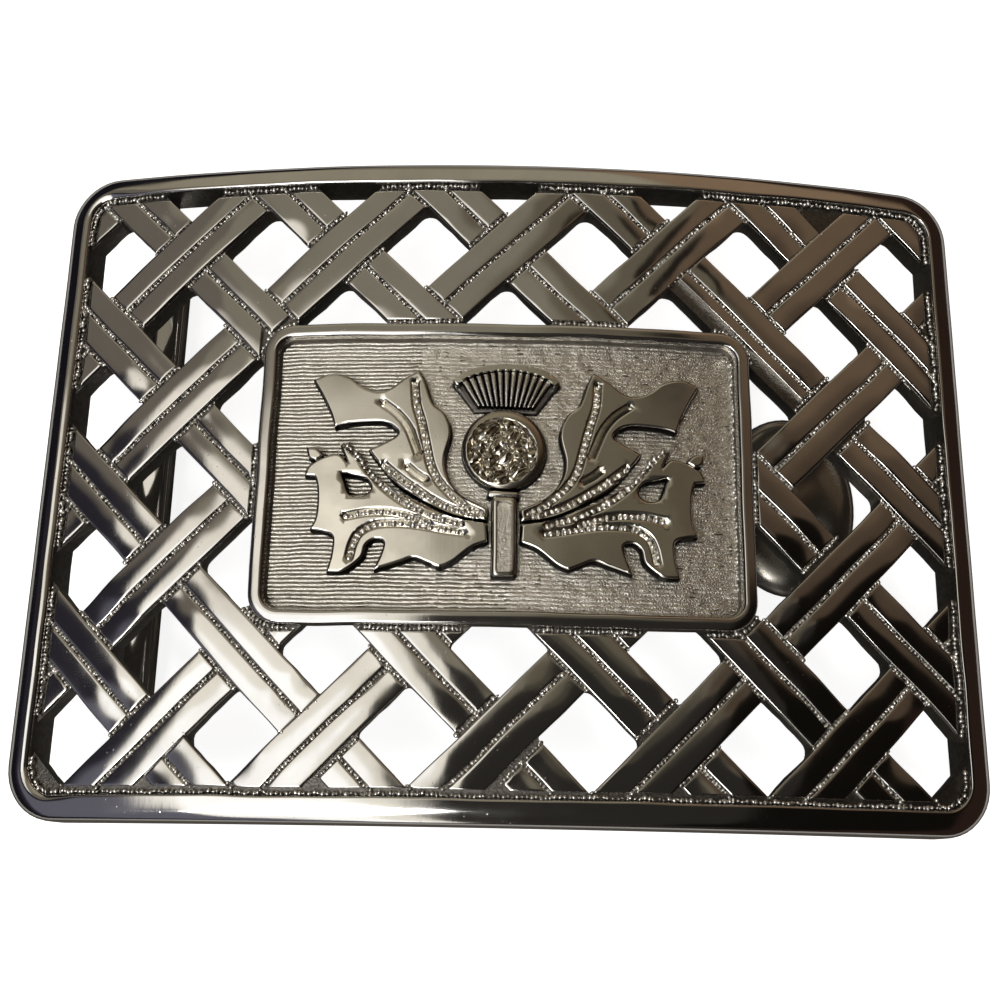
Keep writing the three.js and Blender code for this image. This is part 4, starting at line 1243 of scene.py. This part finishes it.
def addFloor():
    reach = studio["floorReach"]
    mesh = bpy.data.meshes.new("floor")
    mesh.from_pydata([(-reach, -reach, 0), (reach, -reach, 0), (reach, reach, 0), (-reach, reach, 0)], [],
                     [(0, 1, 2, 3)])
    floor = addObject("floor", mesh)
    material = bpy.data.materials.new("pale_floor")
    material.use_nodes = True
    tree = material.node_tree
    shader = tree.nodes["Principled BSDF"]
    shader.inputs["Base Color"].default_value = linear(studio["floor"])
    shader.inputs["Roughness"].default_value = 0.9
    shader.inputs["Emission Color"].default_value = (1, 1, 1, 1)
    shader.inputs["Emission Strength"].default_value = studio["floorGlow"]
    shade = addNode(tree, "ShaderNodeBsdfDiffuse", inputs={"Color": linear(studio["floorShade"])})
    # The chrome mirrors the floor's dark shade close to the buckle and its paler tone farther off
    place = addNode(tree, "ShaderNodeTexCoord").outputs["Object"]
    size = addNode(tree, "ShaderNodeVectorMath", {"operation": "ABSOLUTE"}, links={0: place})
    beyond = addNode(tree, "ShaderNodeVectorMath", {"operation": "SUBTRACT"},
                     {1: (halfWidth * mm, halfHeight * mm, 0)}, {0: size.outputs[0]})
    clear = addNode(tree, "ShaderNodeVectorMath", {"operation": "MAXIMUM"}, {1: (0, 0, 0)},
                    {0: beyond.outputs[0]})
    away = addNode(tree, "ShaderNodeVectorMath", {"operation": "LENGTH"}, links={0: clear.outputs[0]})
    near, far = studio["shadeReach"]
    shadow = addNode(tree, "ShaderNodeMapRange", {"interpolation_type": "SMOOTHSTEP"},
                     {"From Min": near * mm, "From Max": far * mm,
                      "To Min": 1.0, "To Max": studio["shadeLeft"]}, {"Value": away.outputs["Value"]})
    glossy = addNode(tree, "ShaderNodeLightPath").outputs["Is Glossy Ray"]
    seen = addNode(tree, "ShaderNodeMath", {"operation": "MULTIPLY"},
                   links={0: shadow.outputs["Result"], 1: glossy})
    mixed = addNode(tree, "ShaderNodeMixShader",
                    links={0: seen.outputs[0], 1: shader.outputs["BSDF"], 2: shade.outputs["BSDF"]})
    tree.links.new(mixed.outputs["Shader"], tree.nodes["Material Output"].inputs["Surface"])
    mesh.materials.append(material)


def addCamera():
    data = bpy.data.cameras.new("camera")
    data.lens = studio["lens"]
    data.sensor_width = 36.0
    data.clip_start = 0.005
    camera = addObject("camera", data)
    camera.location = [c * mm for c in studio["cameraPlace"]]
    camera.rotation_euler = Euler([math.radians(a) for a in studio["cameraTurn"]])
    bpy.context.scene.camera = camera


def addLight():
    data = bpy.data.lights.new("softbox", "AREA")
    data.shape = "RECTANGLE"
    data.size, data.size_y = studio["lightSize"]
    data.energy = studio["lightPower"]
    light = addObject("softbox", data)
    light.location = studio["lightPlace"]
    light.rotation_euler = (-Vector(studio["lightPlace"])).to_track_quat("-Z", "Y").to_euler()


def addWorld():
    world = bpy.data.worlds.new("room")
    bpy.context.scene.world = world
    world.use_nodes = True
    tree = world.node_tree
    tree.nodes.clear()
    way = addNode(tree, "ShaderNodeTexCoord").outputs["Generated"]
    axes = addNode(tree, "ShaderNodeSeparateXYZ", links={"Vector": way}).outputs
    turn = addNode(tree, "ShaderNodeMath", {"operation": "ARCTAN2"}, links={0: axes["X"], 1: axes["Z"]})
    slope = addNode(tree, "ShaderNodeMath", {"operation": "ARCSINE"}, links={0: axes["Y"]})
    across, upward = [addNode(tree, "ShaderNodeMath", {"operation": "DEGREES"},
                              links={0: node.outputs[0]}).outputs[0] for node in (turn, slope)]

    def edgeShare(value, outer, inner):
        return addNode(tree, "ShaderNodeMapRange", {"interpolation_type": "SMOOTHSTEP"},
                       {"From Min": outer, "From Max": inner}, {"Value": value}).outputs["Result"]

    shade = None
    for left, right, low, high, soft, colour, *brightness in roomZones:
        share = edgeShare(across, left - soft, left + soft)
        for value, edge, turned in ((across, right, -soft), (upward, low, soft), (upward, high, -soft)):
            other = edgeShare(value, edge - turned, edge + turned)
            share = addNode(tree, "ShaderNodeMath", {"operation": "MULTIPLY"},
                            links={0: share, 1: other}).outputs[0]
        tone = [c * (brightness or [1.0])[0] for c in linear(colour)]
        zone = addNode(tree, "ShaderNodeMix", {"data_type": "RGBA"},
                       {6: linear(studio["room"]), 7: tone}, {0: share})
        if shade:
            tree.links.new(shade, zone.inputs[6])
        shade = zone.outputs[2]
    back = addNode(tree, "ShaderNodeBackground", inputs={"Strength": studio["roomStrength"]},
                   links={"Color": shade})
    # The room is only there to be mirrored: behind the buckle the backdrop stays plain
    plain = addNode(tree, "ShaderNodeBackground", inputs={"Color": linear(studio["backdrop"])})
    seen = addNode(tree, "ShaderNodeLightPath").outputs["Is Camera Ray"]
    mixed = addNode(tree, "ShaderNodeMixShader",
                    links={0: seen, 1: back.outputs["Background"], 2: plain.outputs["Background"]})
    addNode(tree, "ShaderNodeOutputWorld", links={"Surface": mixed.outputs["Shader"]})


addFloor()
addCamera()
addWorld()
addLight()
bpy.context.scene.view_settings.view_transform = "Standard"
print("studio ready")

bpy.context.view_layer.update()
